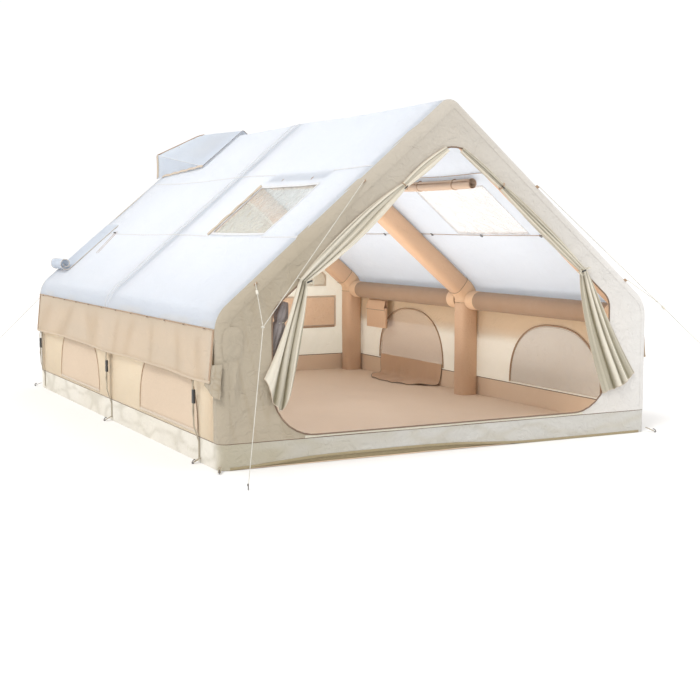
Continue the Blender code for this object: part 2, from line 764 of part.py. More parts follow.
def make_wall(name, side, windows):
    """A side wall from the tub's rim, round the eave and under the roof's edge."""
    line = right_side()[RIDGE_CHORDS + 1:]
    top_x = line[0][0] - WALL_TOP_REACH * cos(SLOPE_ANGLE)
    line = [slope_point(top_x)] + line + [(HALF_WIDTH, BASE)]
    outline = [(side * x, z) for x, z in strip(line, 0, CLOTH)]
    wall = prism_y(name, outline, -WALL_END, WALL_END, WALL_CREAM)
    inside = HALF_WIDTH - SKIN
    for tag, middle in windows:
        reach = (side * (HALF_WIDTH - OVERRUN), side * (HALF_WIDTH + OVERRUN))
        tool = prism_x(f"window_cutter_{name}_{tag}", window_outline(middle), *reach, None)
        cut(wall, tool)
        side_name = "left" if side < 0 else "right"
        prism_x(
            f"window_mesh_{side_name}_{tag}", window_outline(middle, SEAM),
            side * inside, side * (inside - FILM), MESH_SAND)
    return wall


def make_cover(name, side, middle):
    """A closed window cover with its raised zip binding, hinged along its foot."""
    back = HALF_WIDTH - SKIN - FILM - GAP
    face = back - CLOTH
    crest = face - ZIP_HEIGHT
    outer, inner = window_outline(middle, SEAM), window_outline(middle, SEAM - ZIP_WIDTH)
    rings = [
        [(side * back, y, z) for y, z in outer],
        [(side * crest, y, z) for y, z in outer],
        [(side * crest, y, z) for y, z in inner],
        [(side * face, y, z) for y, z in inner],
    ]
    pivot = (side * back, middle, WINDOW_LOW - SEAM)
    return loft(name, rings, WALL_CREAM, pivot)


def make_draped_cover():
    """The open right rear cover: hung from its foot seam, over the tub's edge, onto the floor."""
    top = WINDOW_LOW + SEAM
    back = HALF_WIDTH - SKIN - FILM - GAP
    floor = FLOOR_THICK + GAP
    drop = top - floor - DRAPE_BEND
    arc = DRAPE_BEND * pi / 2
    total = drop + arc + DRAPE_REACH
    rows = []
    for i in range(DRAPE_ROWS):
        run = total * i / (DRAPE_ROWS - 1)
        if run < drop:
            middle, normal = (back, top - run), (-1, 0)
        elif run < drop + arc:
            turn = (run - drop) / DRAPE_BEND
            centre = (back - DRAPE_BEND, floor + DRAPE_BEND)
            middle = (centre[0] + DRAPE_BEND * cos(turn), centre[1] - DRAPE_BEND * sin(turn))
            normal = (-cos(turn), sin(turn))
        else:
            middle, normal = (back - DRAPE_BEND - (run - drop - arc), floor), (0, 1)
        share = run / total
        half = WINDOW_HALF * (1 - (share * DRAPE_TIP_SHARE) ** WINDOW_BULGE_SHARE) ** (1 / WINDOW_BULGE_SHARE)
        rows.append((middle, normal, half))
    rings = []
    for (x, z), (nx, nz), half in rows:
        lower, upper = [], []
        for j in range(DRAPE_COLUMNS + 1):
            y = WINDOW_RIGHT_BACK + half * (2 * j / DRAPE_COLUMNS - 1)
            lower.append((x, y, z))
            upper.append((x + nx * CLOTH, y, z + nz * CLOTH))
        rings.append(lower + upper[::-1])
    return loft("window_cover_right_back", rings, FLOOR_TAN)


def make_roof(name, side):
    """Half of the roof sheet, from the ridge seam over the eave to the valance's hem."""
    line = right_side() + [(BUCKLE_PLACE, VALANCE_BOTTOM)]
    near, far = offset_line(line, -GAP), offset_line(line, -SKIN)
    ridge_turn = cos((pi / 2 - NORMAL_ANGLE) / 2 / RIDGE_CHORDS)
    near[0] = (GAP / 2, line[0][1] + GAP / ridge_turn)
    far[0] = (GAP / 2, line[0][1] + SKIN / ridge_turn)
    outline = [(side * x, z) for x, z in near + far[::-1]]
    roof = prism_y(name, outline, -ROOF_END, ROOF_END, ROOF_WHITE)
    half_span = (SKYLIGHT_FOOT - SKYLIGHT_TOP) / 2 / cos(SLOPE_ANGLE)
    middle = (SKYLIGHT_FOOT + SKYLIGHT_TOP) / 2
    corners = []
    for along, lift in ((-1, -1), (1, -1), (1, 1), (-1, 1)):
        x, z = slope_point(middle + along * half_span * cos(SLOPE_ANGLE), lift * OVERRUN)
        corners.append((side * x, z))
    cut(roof, prism_y(f"skylight_cutter_{name}", corners, SKYLIGHT_FRONT, SKYLIGHT_BACK, None))
    low = RIDGE_PEAK - SLOPE * VENT_HALF - OVERRUN
    high = RIDGE_PEAK + OVERRUN
    vent = box(f"vent_cutter_{name}", (-VENT_HALF, VENT_FRONT, low), (VENT_HALF, VENT_BACK, high))
    cut(roof, vent)
    for tag, y in (("front", BUCKLE_FRONT), ("middle", BUCKLE_MIDDLE), ("back", BUCKLE_BACK)):
        add_socket(roof, side, tag, y)
    return roof


def add_socket(roof, side, tag, y):
    """The valance's webbing and the buckle socket sewn on its end."""
    half = STRAP_THICK / 2
    middle = side * (BUCKLE_PLACE + half)
    strap = box(
        f"socket_strap_{side}_{tag}", (middle - half, y - STRAP_HALF, SOCKET_HIGH - STRAP_THICK),
        (middle + half, y + STRAP_HALF, VALANCE_BOTTOM + STRAP_LAP))
    join(roof, strap)
    place_x = side * BUCKLE_PLACE
    deep = SOCKET_DEEP / 2
    block = box(
        f"socket_{side}_{tag}", (place_x - deep, y - SOCKET_HALF, SOCKET_LOW),
        (place_x + deep, y + SOCKET_HALF, SOCKET_HIGH))
    join(roof, block)
    deep = SOCKET_MOUTH_DEEP / 2
    mouth = box(
        f"socket_mouth_{side}_{tag}", (place_x - deep, y - SOCKET_MOUTH_HALF, SOCKET_LOW - OVERRUN / 2),
        (place_x + deep, y + SOCKET_MOUTH_HALF, SOCKET_LOW + SOCKET_MOUTH_REACH))
    cut(roof, mouth)


def make_plug(name, side, y):
    """A buckle plug: a body on the strap, and two springy prongs inside the socket."""
    top = SOCKET_LOW - GAP
    tip = top + PRONG_REACH
    slim = PRONG_HALF - PRONG_WIDTH
    outline = [
        (-PLUG_HALF, PLUG_LOW), (PLUG_HALF, PLUG_LOW), (PLUG_HALF, top), (PRONG_HALF, top),
        (PRONG_HALF, tip - PRONG_WIDTH), (slim, tip), (slim - PRONG_WIDTH / 2, tip),
        (slim, top), (-slim, top), (PRONG_WIDTH / 2 - slim, tip), (-slim, tip),
        (-PRONG_HALF, tip - PRONG_WIDTH), (-PRONG_HALF, top), (-PLUG_HALF, top),
    ]
    place_x = side * BUCKLE_PLACE
    body = [(y + a, z) for a, z in outline]
    pivot = (place_x, y, SOCKET_LOW)
    deep = PRONG_DEEP / 2
    plug = prism_x(name, body, place_x - deep, place_x + deep, PLASTIC_BLACK, pivot)
    deep = PLUG_DEEP / 2
    grip = box(
        f"grip_{name}", (place_x - deep, y - PLUG_HALF, PLUG_LOW),
        (place_x + deep, y + PLUG_HALF, top))
    join(plug, grip)
    deep = STRAP_THICK / 2 + PLUG_SLOT_FIT
    wide = STRAP_HALF + PLUG_SLOT_FIT
    slot = box(
        f"slot_{name}", (place_x - deep, y - wide, PLUG_LOW - OVERRUN / 2),
        (place_x + deep, y + wide, PLUG_SLOT_END))
    cut(plug, slot)
    return plug


def make_skylight(name, side):
    """The clear film under a skylight hole."""
    line = [slope_point(SKYLIGHT_TOP - SEAM), slope_point(SKYLIGHT_FOOT + SEAM)]
    outline = [(side * x, z) for x, z in strip(line, 0, FILM)]
    prism_y(name, outline, SKYLIGHT_FRONT - SEAM, SKYLIGHT_BACK + SEAM, FILM_CLEAR)


def spiral(centre, radius, core, turns, start, spin):
    """Points that wind inwards from a radius to a core."""
    steps = ceil(ROLL_STEPS * turns)
    points = []
    for i in range(steps + 1):
        share = i / steps
        reach = radius + (core - radius) * share
        turn = start + spin * 2 * pi * turns * share
        points.append((centre[0] + reach * cos(turn), centre[1] + reach * sin(turn)))
    return points


def make_skylight_roll(name, side):
    """The skylight's cloth cover, rolled up under the slope above it."""
    x, z = slope_point(SKYLIGHT_ROLL_PLACE, -(ROLL_RADIUS + GAP))
    line = spiral((x, z), ROLL_RADIUS - CLOTH, ROLL_CORE, ROLL_WIND_SHARE, NORMAL_ANGLE, -1)
    outline = [(side * px, pz) for px, pz in strip(line, -CLOTH, 0)]
    prism_y(name, outline, SKYLIGHT_FRONT, SKYLIGHT_BACK, WALL_CREAM)


def make_vent():
    """The ridge vent's net under the roof, its raised hood, and the prop that holds it up."""
    half = right_side()[:RIDGE_CHORDS + 1] + [slope_point(VENT_HALF + SEAM)]
    whole = mirrored(half)[::-1] + half[1:]
    prism_y("vent_mesh", strip(whole, 0, FILM), VENT_FRONT - SEAM, VENT_BACK + SEAM, MESH_SAND)

    def roof_top(x):
        return RIDGE_PEAK - SLOPE * x + (SKIN + GAP) / cos(SLOPE_ANGLE)

    reach = HALF_LENGTH + HOOD_OVERHANG - HOOD_FRONT
    prop_share = 1 - PROP_FROM_BACK / reach
    outside, inside = [], []
    for share in [prop_share * i / HOOD_STATIONS for i in range(HOOD_STATIONS + 1)] + [1]:
        y = HOOD_FRONT + reach * share
        wide = HOOD_FRONT_HALF + (HOOD_BACK_HALF - HOOD_FRONT_HALF) * share
        low = roof_top(wide)
        side_top = low + HOOD_SEAT + HOOD_SIDE_RISE * share
        peak = roof_top(0) + HOOD_SEAT + HOOD_TOP_RISE * share
        outer = [(-wide, low), (-wide, side_top), (0, peak), (wide, side_top), (wide, low)]
        inner = offset_line(outer, CLOTH)
        foot = roof_top(wide - CLOTH)
        inner[0], inner[-1] = (CLOTH - wide, foot), (wide - CLOTH, foot)
        outside.append([(x, y, z) for x, z in outer])
        inside.append([(x, y, z) for x, z in inner])
    skin_between("vent_hood", outside, inside, ROOF_WHITE)

    wide = HOOD_FRONT_HALF + (HOOD_BACK_HALF - HOOD_FRONT_HALF) * prop_share
    side_top = roof_top(wide) + HOOD_SEAT + HOOD_SIDE_RISE * prop_share
    peak = roof_top(0) + HOOD_SEAT + HOOD_TOP_RISE * prop_share
    fall = (peak - side_top) / wide
    lean = (HOOD_TOP_RISE + (HOOD_SIDE_RISE - HOOD_TOP_RISE) * PROP_PLACE / wide) / reach
    under = peak - fall * PROP_PLACE - (CLOTH + GAP + PROP_BALL) * sqrt(1 + fall * fall + lean * lean)
    over = roof_top(PROP_PLACE) + PROP_BALL / cos(SLOPE_ANGLE)
    y = HALF_LENGTH + HOOD_OVERHANG - PROP_FROM_BACK
    length = under - over
    profile = []
    for turn in PROP_BALL_SHARES:
        profile.append((PROP_BALL * sin(pi * turn), PROP_BALL * cos(pi * turn)))
    profile.append((PROP_BALL, PROP_RADIUS))
    profile += [(length - d, r) for d, r in profile[::-1]]
    prop = (-PROP_PLACE, y, over)
    turned("vent_prop", profile, PROP_SIDES, prop, (0, 0, 1), PLASTIC_GREY, (-PROP_PLACE, y, under))


def make_rear_flap():
    """A flap sewn along its top to the left slope, by the rear edge; its lower end curls up."""
    lift = SKIN + GAP
    line = [slope_point(FLAP_TOP, lift), slope_point(FLAP_LEAVES, lift)]
    centre = slope_point(FLAP_LEAVES, lift + FLAP_ROLL_RADIUS)
    curl = spiral(
        centre, FLAP_ROLL_RADIUS, ROLL_CORE, FLAP_WIND_SHARE, NORMAL_ANGLE - pi, 1)
    line += curl[1:]
    outline = mirrored(strip(line, -CLOTH, 0))
    pivot = (-line[0][0], (FLAP_FRONT + FLAP_BACK) / 2, line[0][1])
    prism_y("rear_flap", outline, FLAP_FRONT, FLAP_BACK, ROOF_WHITE, pivot)


def curtain_section(middle, across, half, deep, swing):
    """A closed ring: a flat back on the sleeve and a front thrown into folds."""
    ring = []
    count = CURTAIN_FRONT_POINTS
    for i in range(count + 1):
        share = i / count
        u = 2 * share - 1
        body = sqrt(1 - u ** 4)
        wave = (1 + cos(2 * pi * CURTAIN_FOLDS * (share + swing))) / 2
        y = -deep * (CURTAIN_HEM_SHARE + body * (CURTAIN_BODY_SHARE + CURTAIN_WAVE_SHARE * wave))
        ring.append(middle + across * (u * half) + Vector((0, y, 0)))
    ring.append(middle + across * half)
    ring.append(middle - across * half)
    return ring


def make_curtain(name, side, tie, belly, foot, foot_half):
    """A door curtain: gathered along the sloping edge, tied, then fanned out in hanging folds."""
    peak = RIDGE_PEAK - DOOR_BAND / cos(SLOPE_ANGLE)
    y = -HALF_LENGTH - GAP
    apex_dip = DOOR_APEX_RADIUS * (1 / cos(SLOPE_ANGLE) - 1)
    stations = []
    for i in range(CURTAIN_UPPER_STATIONS):
        share = i / CURTAIN_UPPER_STATIONS
        x = CURTAIN_TOP + (tie - CURTAIN_TOP) * share
        z = peak - SLOPE * x - apex_dip * (1 - share) ** CURTAIN_DIP_SHARE
        swell = sin(pi * share ** CURTAIN_SWELL_SHARES[0]) ** CURTAIN_SWELL_SHARES[1]
        base = CURTAIN_TOP_HALF + (CURTAIN_WAIST_HALF - CURTAIN_TOP_HALF) * share
        half = base + (CURTAIN_SLOPE_HALF - base) * swell
        deep = CURTAIN_SLOPE_DEEP + (CURTAIN_WAIST_DEEP - CURTAIN_SLOPE_DEEP) * share
        stations.append((x, z, half, deep, share * CURTAIN_SWING_SHARE))
    start = (tie, peak - SLOPE * tie)
    control = (belly, CURTAIN_BELLY_HEIGHT)
    for i in range(CURTAIN_LOWER_STATIONS + 1):
        share = i / CURTAIN_LOWER_STATIONS
        a, b, c = (1 - share) ** 2, 2 * share * (1 - share), share ** 2
        x = a * start[0] + b * control[0] + c * foot[0]
        z = a * start[1] + b * control[1] + c * foot[1]
        opening = share ** CURTAIN_FAN_SHARE
        half = CURTAIN_WAIST_HALF + (foot_half - CURTAIN_WAIST_HALF) * opening
        deep = CURTAIN_WAIST_DEEP + (CURTAIN_FOOT_DEEP - CURTAIN_WAIST_DEEP) * opening
        swing = CURTAIN_SWING_SHARE + CURTAIN_SWAY_SHARE * sin(pi * share)
        stations.append((x, z, half, deep, swing))
    rings = []
    for i, (x, z, half, deep, swing) in enumerate(stations):
        before, after = stations[max(i - 1, 0)], stations[min(i + 1, len(stations) - 1)]
        run = Vector((side * (after[0] - before[0]), 0, after[1] - before[1])).normalized()
        across = Vector((-run.z, 0, run.x))
        off = TIE_THICK + GAP
        middle = Vector((side * x, y - off, z))
        rings.append(curtain_section(middle, across, half, deep, swing))
    return loft(name, rings, CURTAIN_GREY)


def make_tie(name, side, tie):
    """A webbing tie round the curtain's gathered waist."""
    peak = RIDGE_PEAK - DOOR_BAND / cos(SLOPE_ANGLE)
    middle = Vector((side * tie, -HALF_LENGTH - GAP, peak - SLOPE * tie))
    lean = TIE_LEAN_SHARE * cos(SLOPE_ANGLE)
    run = Vector((side * lean, 0, -1 - sin(SLOPE_ANGLE))).normalized()
    across = Vector((-run.z, 0, run.x))
    deep = (CURTAIN_WAIST_DEEP + TIE_FIT + 2 * TIE_THICK + 3 * GAP) / 2
    wide = CURTAIN_WAIST_HALF + TIE_SIDE_FIT + TIE_THICK
    rings = []
    for i in range(TIE_SIDES):
        turn = 2 * pi * i / TIE_SIDES
        c, s = cos(turn), sin(turn)
        c = abs(c) ** TIE_SQUARE_SHARE * (1 if c >= 0 else -1)
        s = abs(s) ** TIE_SQUARE_SHARE * (1 if s >= 0 else -1)
        ring = []
        for thick, rise in ((0, -1), (0, 1), (-TIE_THICK, 1), (-TIE_THICK, -1)):
            spoke = across * (c * (wide + thick)) + Vector((0, s * (deep + thick), 0))
            ring.append(middle + Vector((0, -deep, 0)) + spoke + run * (rise * TIE_HEIGHT / 2))
        rings.append(ring)
    return loft(name, rings, WALL_CREAM, closed=True)


def make_pocket():
    """The storage pocket that hangs under the right rear purlin, with its flap."""
    middle = (PURLIN_PLACE, POCKET_MIDDLE)
    deep = POCKET_DEEP / 2
    hang = PURLIN_HEIGHT - PURLIN_RADIUS - GAP
    pocket = loft("storage_pocket", [
        rounded_box(deep, POCKET_HALF, POCKET_CORNER, POCKET_LOW, middle),
        rounded_box(deep, POCKET_HALF, POCKET_CORNER, POCKET_MOUTH, middle),
        rounded_box(deep - CLOTH, POCKET_HALF - CLOTH, POCKET_CORNER - CLOTH, POCKET_MOUTH, middle),
        rounded_box(deep - CLOTH, POCKET_HALF - CLOTH, POCKET_CORNER - CLOTH, POCKET_LOW + CLOTH, middle),
    ], BEAM_TAN)
    back = middle[0] + deep
    sheet = [
        (back - CLOTH, POCKET_LOW + SEAM), (back, POCKET_LOW + SEAM),
        (back, POCKET_MOUTH), (middle[0] + CLOTH / 2, hang - SEAM), (middle[0] + CLOTH / 2, hang),
        (middle[0] - CLOTH / 2, hang), (middle[0] - CLOTH / 2, hang - SEAM),
        (back - CLOTH, POCKET_MOUTH),
    ]
    low, high = POCKET_MIDDLE - POCKET_HALF, POCKET_MIDDLE + POCKET_HALF
    inset = POCKET_CORNER
    join(pocket, prism_y("pocket_back", sheet, low + inset, high - inset, None))
    face = middle[0] - deep
    top = hang - SEAM
    hinge = middle[0] - CLOTH / 2 - GAP
    front = face - GAP - POCKET_FLAP_OUT
    line = [(hinge, top), (front, POCKET_MOUTH), (front, top - POCKET_FLAP_DROP)]
    outline = strip(line, 0, CLOTH)
    prism_y(
        "pocket_flap", outline, low + inset, high - inset, BEAM_TAN,
        (hinge, POCKET_MIDDLE, top))


def make_valve(arch, front):
    """The inflation valve in the front left leg: body, sprung plunger, screw cap, cloth flap."""
    x, z = VALVE_PLACE
    face = -HALF_LENGTH
    bottom = face + SKIN + GAP + VALVE_DEEP
    rim = face - VALVE_PROUD
    recess = turned("valve_recess", [
        (-OVERRUN / 2, VALVE_FLANGE + VALVE_RECESS_FIT),
        (VALVE_DEEP + SKIN + 2 * GAP, VALVE_FLANGE + VALVE_RECESS_FIT),
    ], VALVE_SIDES, (x, face, z), (0, 1, 0), None)
    cut(arch, recess)
    span = bottom - rim
    guide_deep = VALVE_STEM_LENGTH + VALVE_TRAVEL + VALVE_WALL
    floor = guide_deep + VALVE_WALL / 2
    turned("valve_body", [
        (0, VALVE_BARREL), (span - VALVE_WALL, VALVE_BARREL), (span - VALVE_WALL, VALVE_FLANGE),
        (span, VALVE_FLANGE), (span, VALVE_BORE), (floor, VALVE_BORE), (floor, VALVE_GUIDE),
        (floor - guide_deep, VALVE_GUIDE),
    ], VALVE_SIDES, (x, bottom, z), (0, -1, 0), PLASTIC_GREY)
    seat = bottom - floor
    under = seat - VALVE_TRAVEL - GAP
    turned("valve_plunger", [
        (-VALVE_STEM_LENGTH, VALVE_STEM), (0, VALVE_STEM), (0, VALVE_BUTTON),
        (VALVE_BUTTON_THICK, VALVE_BUTTON), (VALVE_BUTTON_THICK + GAP, VALVE_BUTTON - VALVE_WALL),
    ], VALVE_SIDES, (x, under, z), (0, -1, 0), PLASTIC_BLACK, (x, under, z))
    rings = []
    lobes = CAP_LOBES * CAP_LOBE_POINTS
    for distance, share in ((0, 1), (CAP_THICK - FILM, 1), (CAP_THICK, CAP_EDGE_SHARE)):
        ring = []
        for i in range(lobes):
            turn = 2 * pi * i / lobes
            radius = (CAP_RADIUS - CAP_LOBE_DEEP * (1 + cos(CAP_LOBES * turn)) / 2) * share
            ring.append((x + radius * cos(turn), rim - GAP - distance, z + radius * sin(turn)))
        rings.append(ring)
    loft("valve_cap", rings, PLASTIC_GREY, (x, rim - GAP, z))
    out = rim - GAP - CAP_THICK - VALVE_FLAP_CLEAR
    line = [
        (face - GAP, VALVE_FLAP_TOP), (out, VALVE_FLAP_TOP - VALVE_FLAP_SLANT),
        (out, VALVE_FLAP_LOW + VALVE_FLAP_SLANT), (face - GAP, VALVE_FLAP_LOW),
    ]
    outline = strip(line, 0, CLOTH)
    prism_x(
        "valve_flap", outline, x - VALVE_FLAP_HALF, x + VALVE_FLAP_HALF, BODY_BEIGE,
        (x, face - GAP - CLOTH, VALVE_FLAP_TOP))


def cord(name, start, end):
    """A taut guy line from point to point."""
    curve = bpy.data.curves.new(name, "CURVE")
    curve.dimensions = "3D"
    curve.bevel_depth = CORD_RADIUS
    curve.bevel_resolution = 2
    curve.use_fill_caps = True
    spline = curve.splines.new("POLY")
    spline.points.add(CORD_POINTS - 1)
    span = Vector(end) - Vector(start)
    for i in range(CORD_POINTS):
        share = i / (CORD_POINTS - 1)
        point = Vector(start) + span * share
        spline.points[i].co = (*point, 1)
    item = bpy.data.objects.new(name, curve)
    bpy.context.scene.collection.objects.link(item)
    curve.materials.append(material(name, CORD_CREAM))
    return item


def make_peg(name, spot, towards):
    """A ground peg's hooked head, which stands on the ground and holds the line's end."""
    x, y = spot
    out = Vector((towards[0] - x, towards[1] - y, 0)).normalized()
    points = [Vector((x, y, 0)), Vector((x, y, PEG_HEIGHT - PEG_HOOK))]
    for i in range(1, PEG_HOOK_STEPS + 1):
        turn = pi * i / PEG_HOOK_STEPS
        reach = -out * (PEG_HOOK * (1 - cos(turn)))
        points.append(Vector((x, y, PEG_HEIGHT - PEG_HOOK + PEG_HOOK * sin(turn))) + reach)
    curve = bpy.data.curves.new(name, "CURVE")
    curve.dimensions = "3D"
    curve.bevel_depth = PEG_RADIUS
    curve.bevel_resolution = 2
    curve.use_fill_caps = True
    spline = curve.splines.new("POLY")
    spline.points.add(len(points) - 1)
    for i, point in enumerate(points):
        spline.points[i].co = (*point, 1)
    item = bpy.data.objects.new(name, curve)
    bpy.context.scene.collection.objects.link(item)
    curve.materials.append(material(name, STEEL_DARK))
    return item


def make_runner(name, centre, direction):
    """A line runner: a short sleeve on its cord."""
    half = RUNNER_LENGTH / 2
    bore = CORD_RADIUS + RUNNER_FIT
    profile = [(-half, bore), (half, bore), (half, RUNNER_RADIUS), (-half, RUNNER_RADIUS)]
    return ring_of(name, profile, RUNNER_SIDES, centre, direction, PLASTIC_BLACK, centre)


def make_guys(front, back):
    """Every guy line with its tabs, knot, runner and peg."""
    left_low, out_a, tab_a = edge_tab("tab_left_low", -1, -1, TAB_LEFT_LOW)
    left_high, out_b, tab_b = edge_tab("tab_left_high", -1, -1, TAB_LEFT_HIGH)
    right_high, out_c, tab_c = edge_tab("tab_right_high", 1, -1, TAB_RIGHT_HIGH)
    right_low, out_d, tab_d = edge_tab("tab_right_low", 1, -1, TAB_RIGHT_LOW)
    rear, out_e, tab_e = edge_tab("tab_rear", -1, 1, 0, TAB_REAR_HEIGHT)
    for tab in (tab_a, tab_b, tab_c, tab_d):
        join(front, tab)
    join(back, tab_e)
    clear = CORD_RADIUS + GAP

    def leave(tip, out, target):
        """Start just off the tab's tip, far enough that the cord's round end clears it."""
        start = tip + out * clear
        return start, (target - start).normalized()

    def peg_end(spot, origin):
        """The line's end, just short of the peg's shank."""
        foot = Vector((spot[0], spot[1], CORD_LOW_END))
        away = (origin - foot).normalized()
        flat = hypot(away.x, away.y)
        return foot + away * ((PEG_RADIUS + GAP + CORD_RADIUS * away.z) / flat)

    knot = Vector(KNOT_LEFT)
    turned("guy_knot_left", [
        (KNOT_RADIUS * sin(pi * turn), KNOT_RADIUS * cos(pi * turn)) for turn in KNOT_SHARES
    ], RUNNER_SIDES, knot, (0, 0, 1), CORD_CREAM)
    reach = KNOT_RADIUS + GAP
    for name, tip, out in (("guy_left_short", left_low, out_a), ("guy_left_long", left_high, out_b)):
        start, run = leave(tip, out, knot)
        cord(name, start, knot - run * reach)
    end = peg_end(PEG_LEFT, knot)
    run = (end - knot).normalized()
    cord("guy_left_main", knot + run * reach, end)
    make_peg("peg_left", PEG_LEFT, knot)
    start, run = leave(left_low, out_a, knot)
    make_runner("runner_left", start + run * RUNNER_LEFT_FROM_TAB, run)

    foot = Vector((PEG_RIGHT[0], PEG_RIGHT[1], CORD_LOW_END))
    start, run = leave(right_high, out_c, foot)
    end = peg_end(PEG_RIGHT, start)
    cord("guy_right_main", start, end)
    make_peg("peg_right", PEG_RIGHT, start)
    meet = start + (end - start) * RIGHT_JOIN_SHARE
    short_start, short_run = leave(right_low, out_d, meet)
    main_run = (end - start).normalized()
    slant = short_run.angle(main_run)
    back_off = (CORD_RADIUS + GAP + CORD_RADIUS * cos(slant)) / sin(slant)
    cord("guy_right_short", short_start, meet - short_run * back_off)
    make_runner("runner_right", meet + main_run * RUNNER_RIGHT_FROM_JOIN, main_run)

    foot = Vector((PEG_REAR[0], PEG_REAR[1], CORD_LOW_END))
    start, run = leave(rear, out_e, foot)
    cord("guy_rear", start, peg_end(PEG_REAR, start))
    make_peg("peg_rear", PEG_REAR, start)


def main():
    clear_scene()
    make_tub()
    arch = make_arch("arch_front", -ARCH_END)
    make_arch("arch_middle", 0)
    make_arch("arch_back", ARCH_END)
    reach = ARCH_WIDTH / 2 + GAP
    for tag, side in (("left", -1), ("right", 1)):
        make_purlin(f"purlin_front_{tag}", side, -ARCH_END + reach, -reach)
        make_purlin(f"purlin_back_{tag}", side, reach, ARCH_END - reach)
        make_roof(f"roof_{tag}", side)
        make_skylight(f"skylight_film_{tag}", side)
        make_skylight_roll(f"skylight_roll_{tag}", side)
        for place_name, y in (
            ("front", BUCKLE_FRONT), ("middle", BUCKLE_MIDDLE), ("back", BUCKLE_BACK),
        ):
            make_plug(f"buckle_plug_{tag}_{place_name}", side, y)
    make_wall("wall_left", -1, (("front", WINDOW_LEFT_FRONT), ("back", WINDOW_LEFT_BACK)))
    make_wall("wall_right", 1, (("front", WINDOW_RIGHT_FRONT), ("back", WINDOW_RIGHT_BACK)))
    make_cover("window_cover_left_front", -1, WINDOW_LEFT_FRONT)
    make_cover("window_cover_left_back", -1, WINDOW_LEFT_BACK)
    make_cover("window_cover_right_front", 1, WINDOW_RIGHT_FRONT)
    make_draped_cover()
    front, back = make_ends()
    make_vent()
    make_rear_flap()
    make_curtain(
        "curtain_left", -1, CURTAIN_TIE_LEFT, CURTAIN_BELLY_LEFT, CURTAIN_FOOT_LEFT,
        CURTAIN_FOOT_HALF_LEFT)
    make_curtain(
        "curtain_right", 1, CURTAIN_TIE_RIGHT, CURTAIN_BELLY_RIGHT, CURTAIN_FOOT_RIGHT,
        CURTAIN_FOOT_HALF_RIGHT)
    make_tie("curtain_tie_left", -1, CURTAIN_TIE_LEFT)
    make_tie("curtain_tie_right", 1, CURTAIN_TIE_RIGHT)
    make_pocket()
    make_valve(arch, front)
    make_guys(front, back)


main()
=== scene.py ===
from math import atan, cos, pi, radians, sin, tan

import bmesh
import bpy
import numpy as np
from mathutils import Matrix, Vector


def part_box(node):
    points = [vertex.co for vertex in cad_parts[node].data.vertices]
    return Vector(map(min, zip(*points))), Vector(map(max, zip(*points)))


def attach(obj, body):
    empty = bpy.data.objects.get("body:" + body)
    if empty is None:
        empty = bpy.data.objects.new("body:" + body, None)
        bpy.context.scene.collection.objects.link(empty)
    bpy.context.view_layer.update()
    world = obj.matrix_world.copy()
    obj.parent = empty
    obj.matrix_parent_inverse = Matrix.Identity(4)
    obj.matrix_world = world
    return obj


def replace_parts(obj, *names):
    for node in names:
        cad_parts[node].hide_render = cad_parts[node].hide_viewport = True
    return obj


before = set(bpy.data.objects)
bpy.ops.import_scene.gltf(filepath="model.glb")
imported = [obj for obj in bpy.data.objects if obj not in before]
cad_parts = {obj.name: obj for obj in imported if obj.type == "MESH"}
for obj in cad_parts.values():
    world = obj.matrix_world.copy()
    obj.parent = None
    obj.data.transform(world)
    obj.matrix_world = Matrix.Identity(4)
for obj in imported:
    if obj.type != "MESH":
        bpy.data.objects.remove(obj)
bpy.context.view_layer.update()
scene = bpy.context.scene
print("frame loaded:", len(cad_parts), "nodes")

# The tent's outline, from the frame where it can be read there
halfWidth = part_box("wall_right")[1].x
halfLength = -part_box("front_sleeve")[0].y
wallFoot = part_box("wall_right")[0].z
shape = {
    "ridgePeak": 2.125, "ridgeRadius": 0.07, "eavePeak": 0.86, "eaveRadius": 0.20,
    "gap": 0.0003, "cloth": 0.003, "edgeRound": 0.0583, "roofSag": 0.012, "billow": 0.0022,
    "wallHalf": 2.0114, "wallThick": 0.0025,
}
slope = (shape["ridgePeak"] - shape["eavePeak"]) / halfWidth
slopeAngle = atan(slope)
normalAngle = pi / 2 - slopeAngle
eaveCentre = shape["eavePeak"] - shape["eaveRadius"] * tan(normalAngle / 2)
ridgeCentre = shape["ridgePeak"] - shape["ridgeRadius"] / cos(slopeAngle)
ridgeRun = shape["ridgeRadius"] * slopeAngle
slopeRun = (halfWidth - shape["eaveRadius"] + shape["eaveRadius"] * cos(normalAngle)
            - shape["ridgeRadius"] * cos(normalAngle)) / cos(slopeAngle)
eaveStart = ridgeRun + slopeRun
eaveEnd = eaveStart + shape["eaveRadius"] * normalAngle
wallEnd = eaveEnd + eaveCentre - wallFoot
skin = shape["cloth"] + shape["gap"]
sides = ((-1, "Left"), (1, "Right"))
arches = {"Front": -2.0167, "Middle": 0.0, "Back": 2.0167}


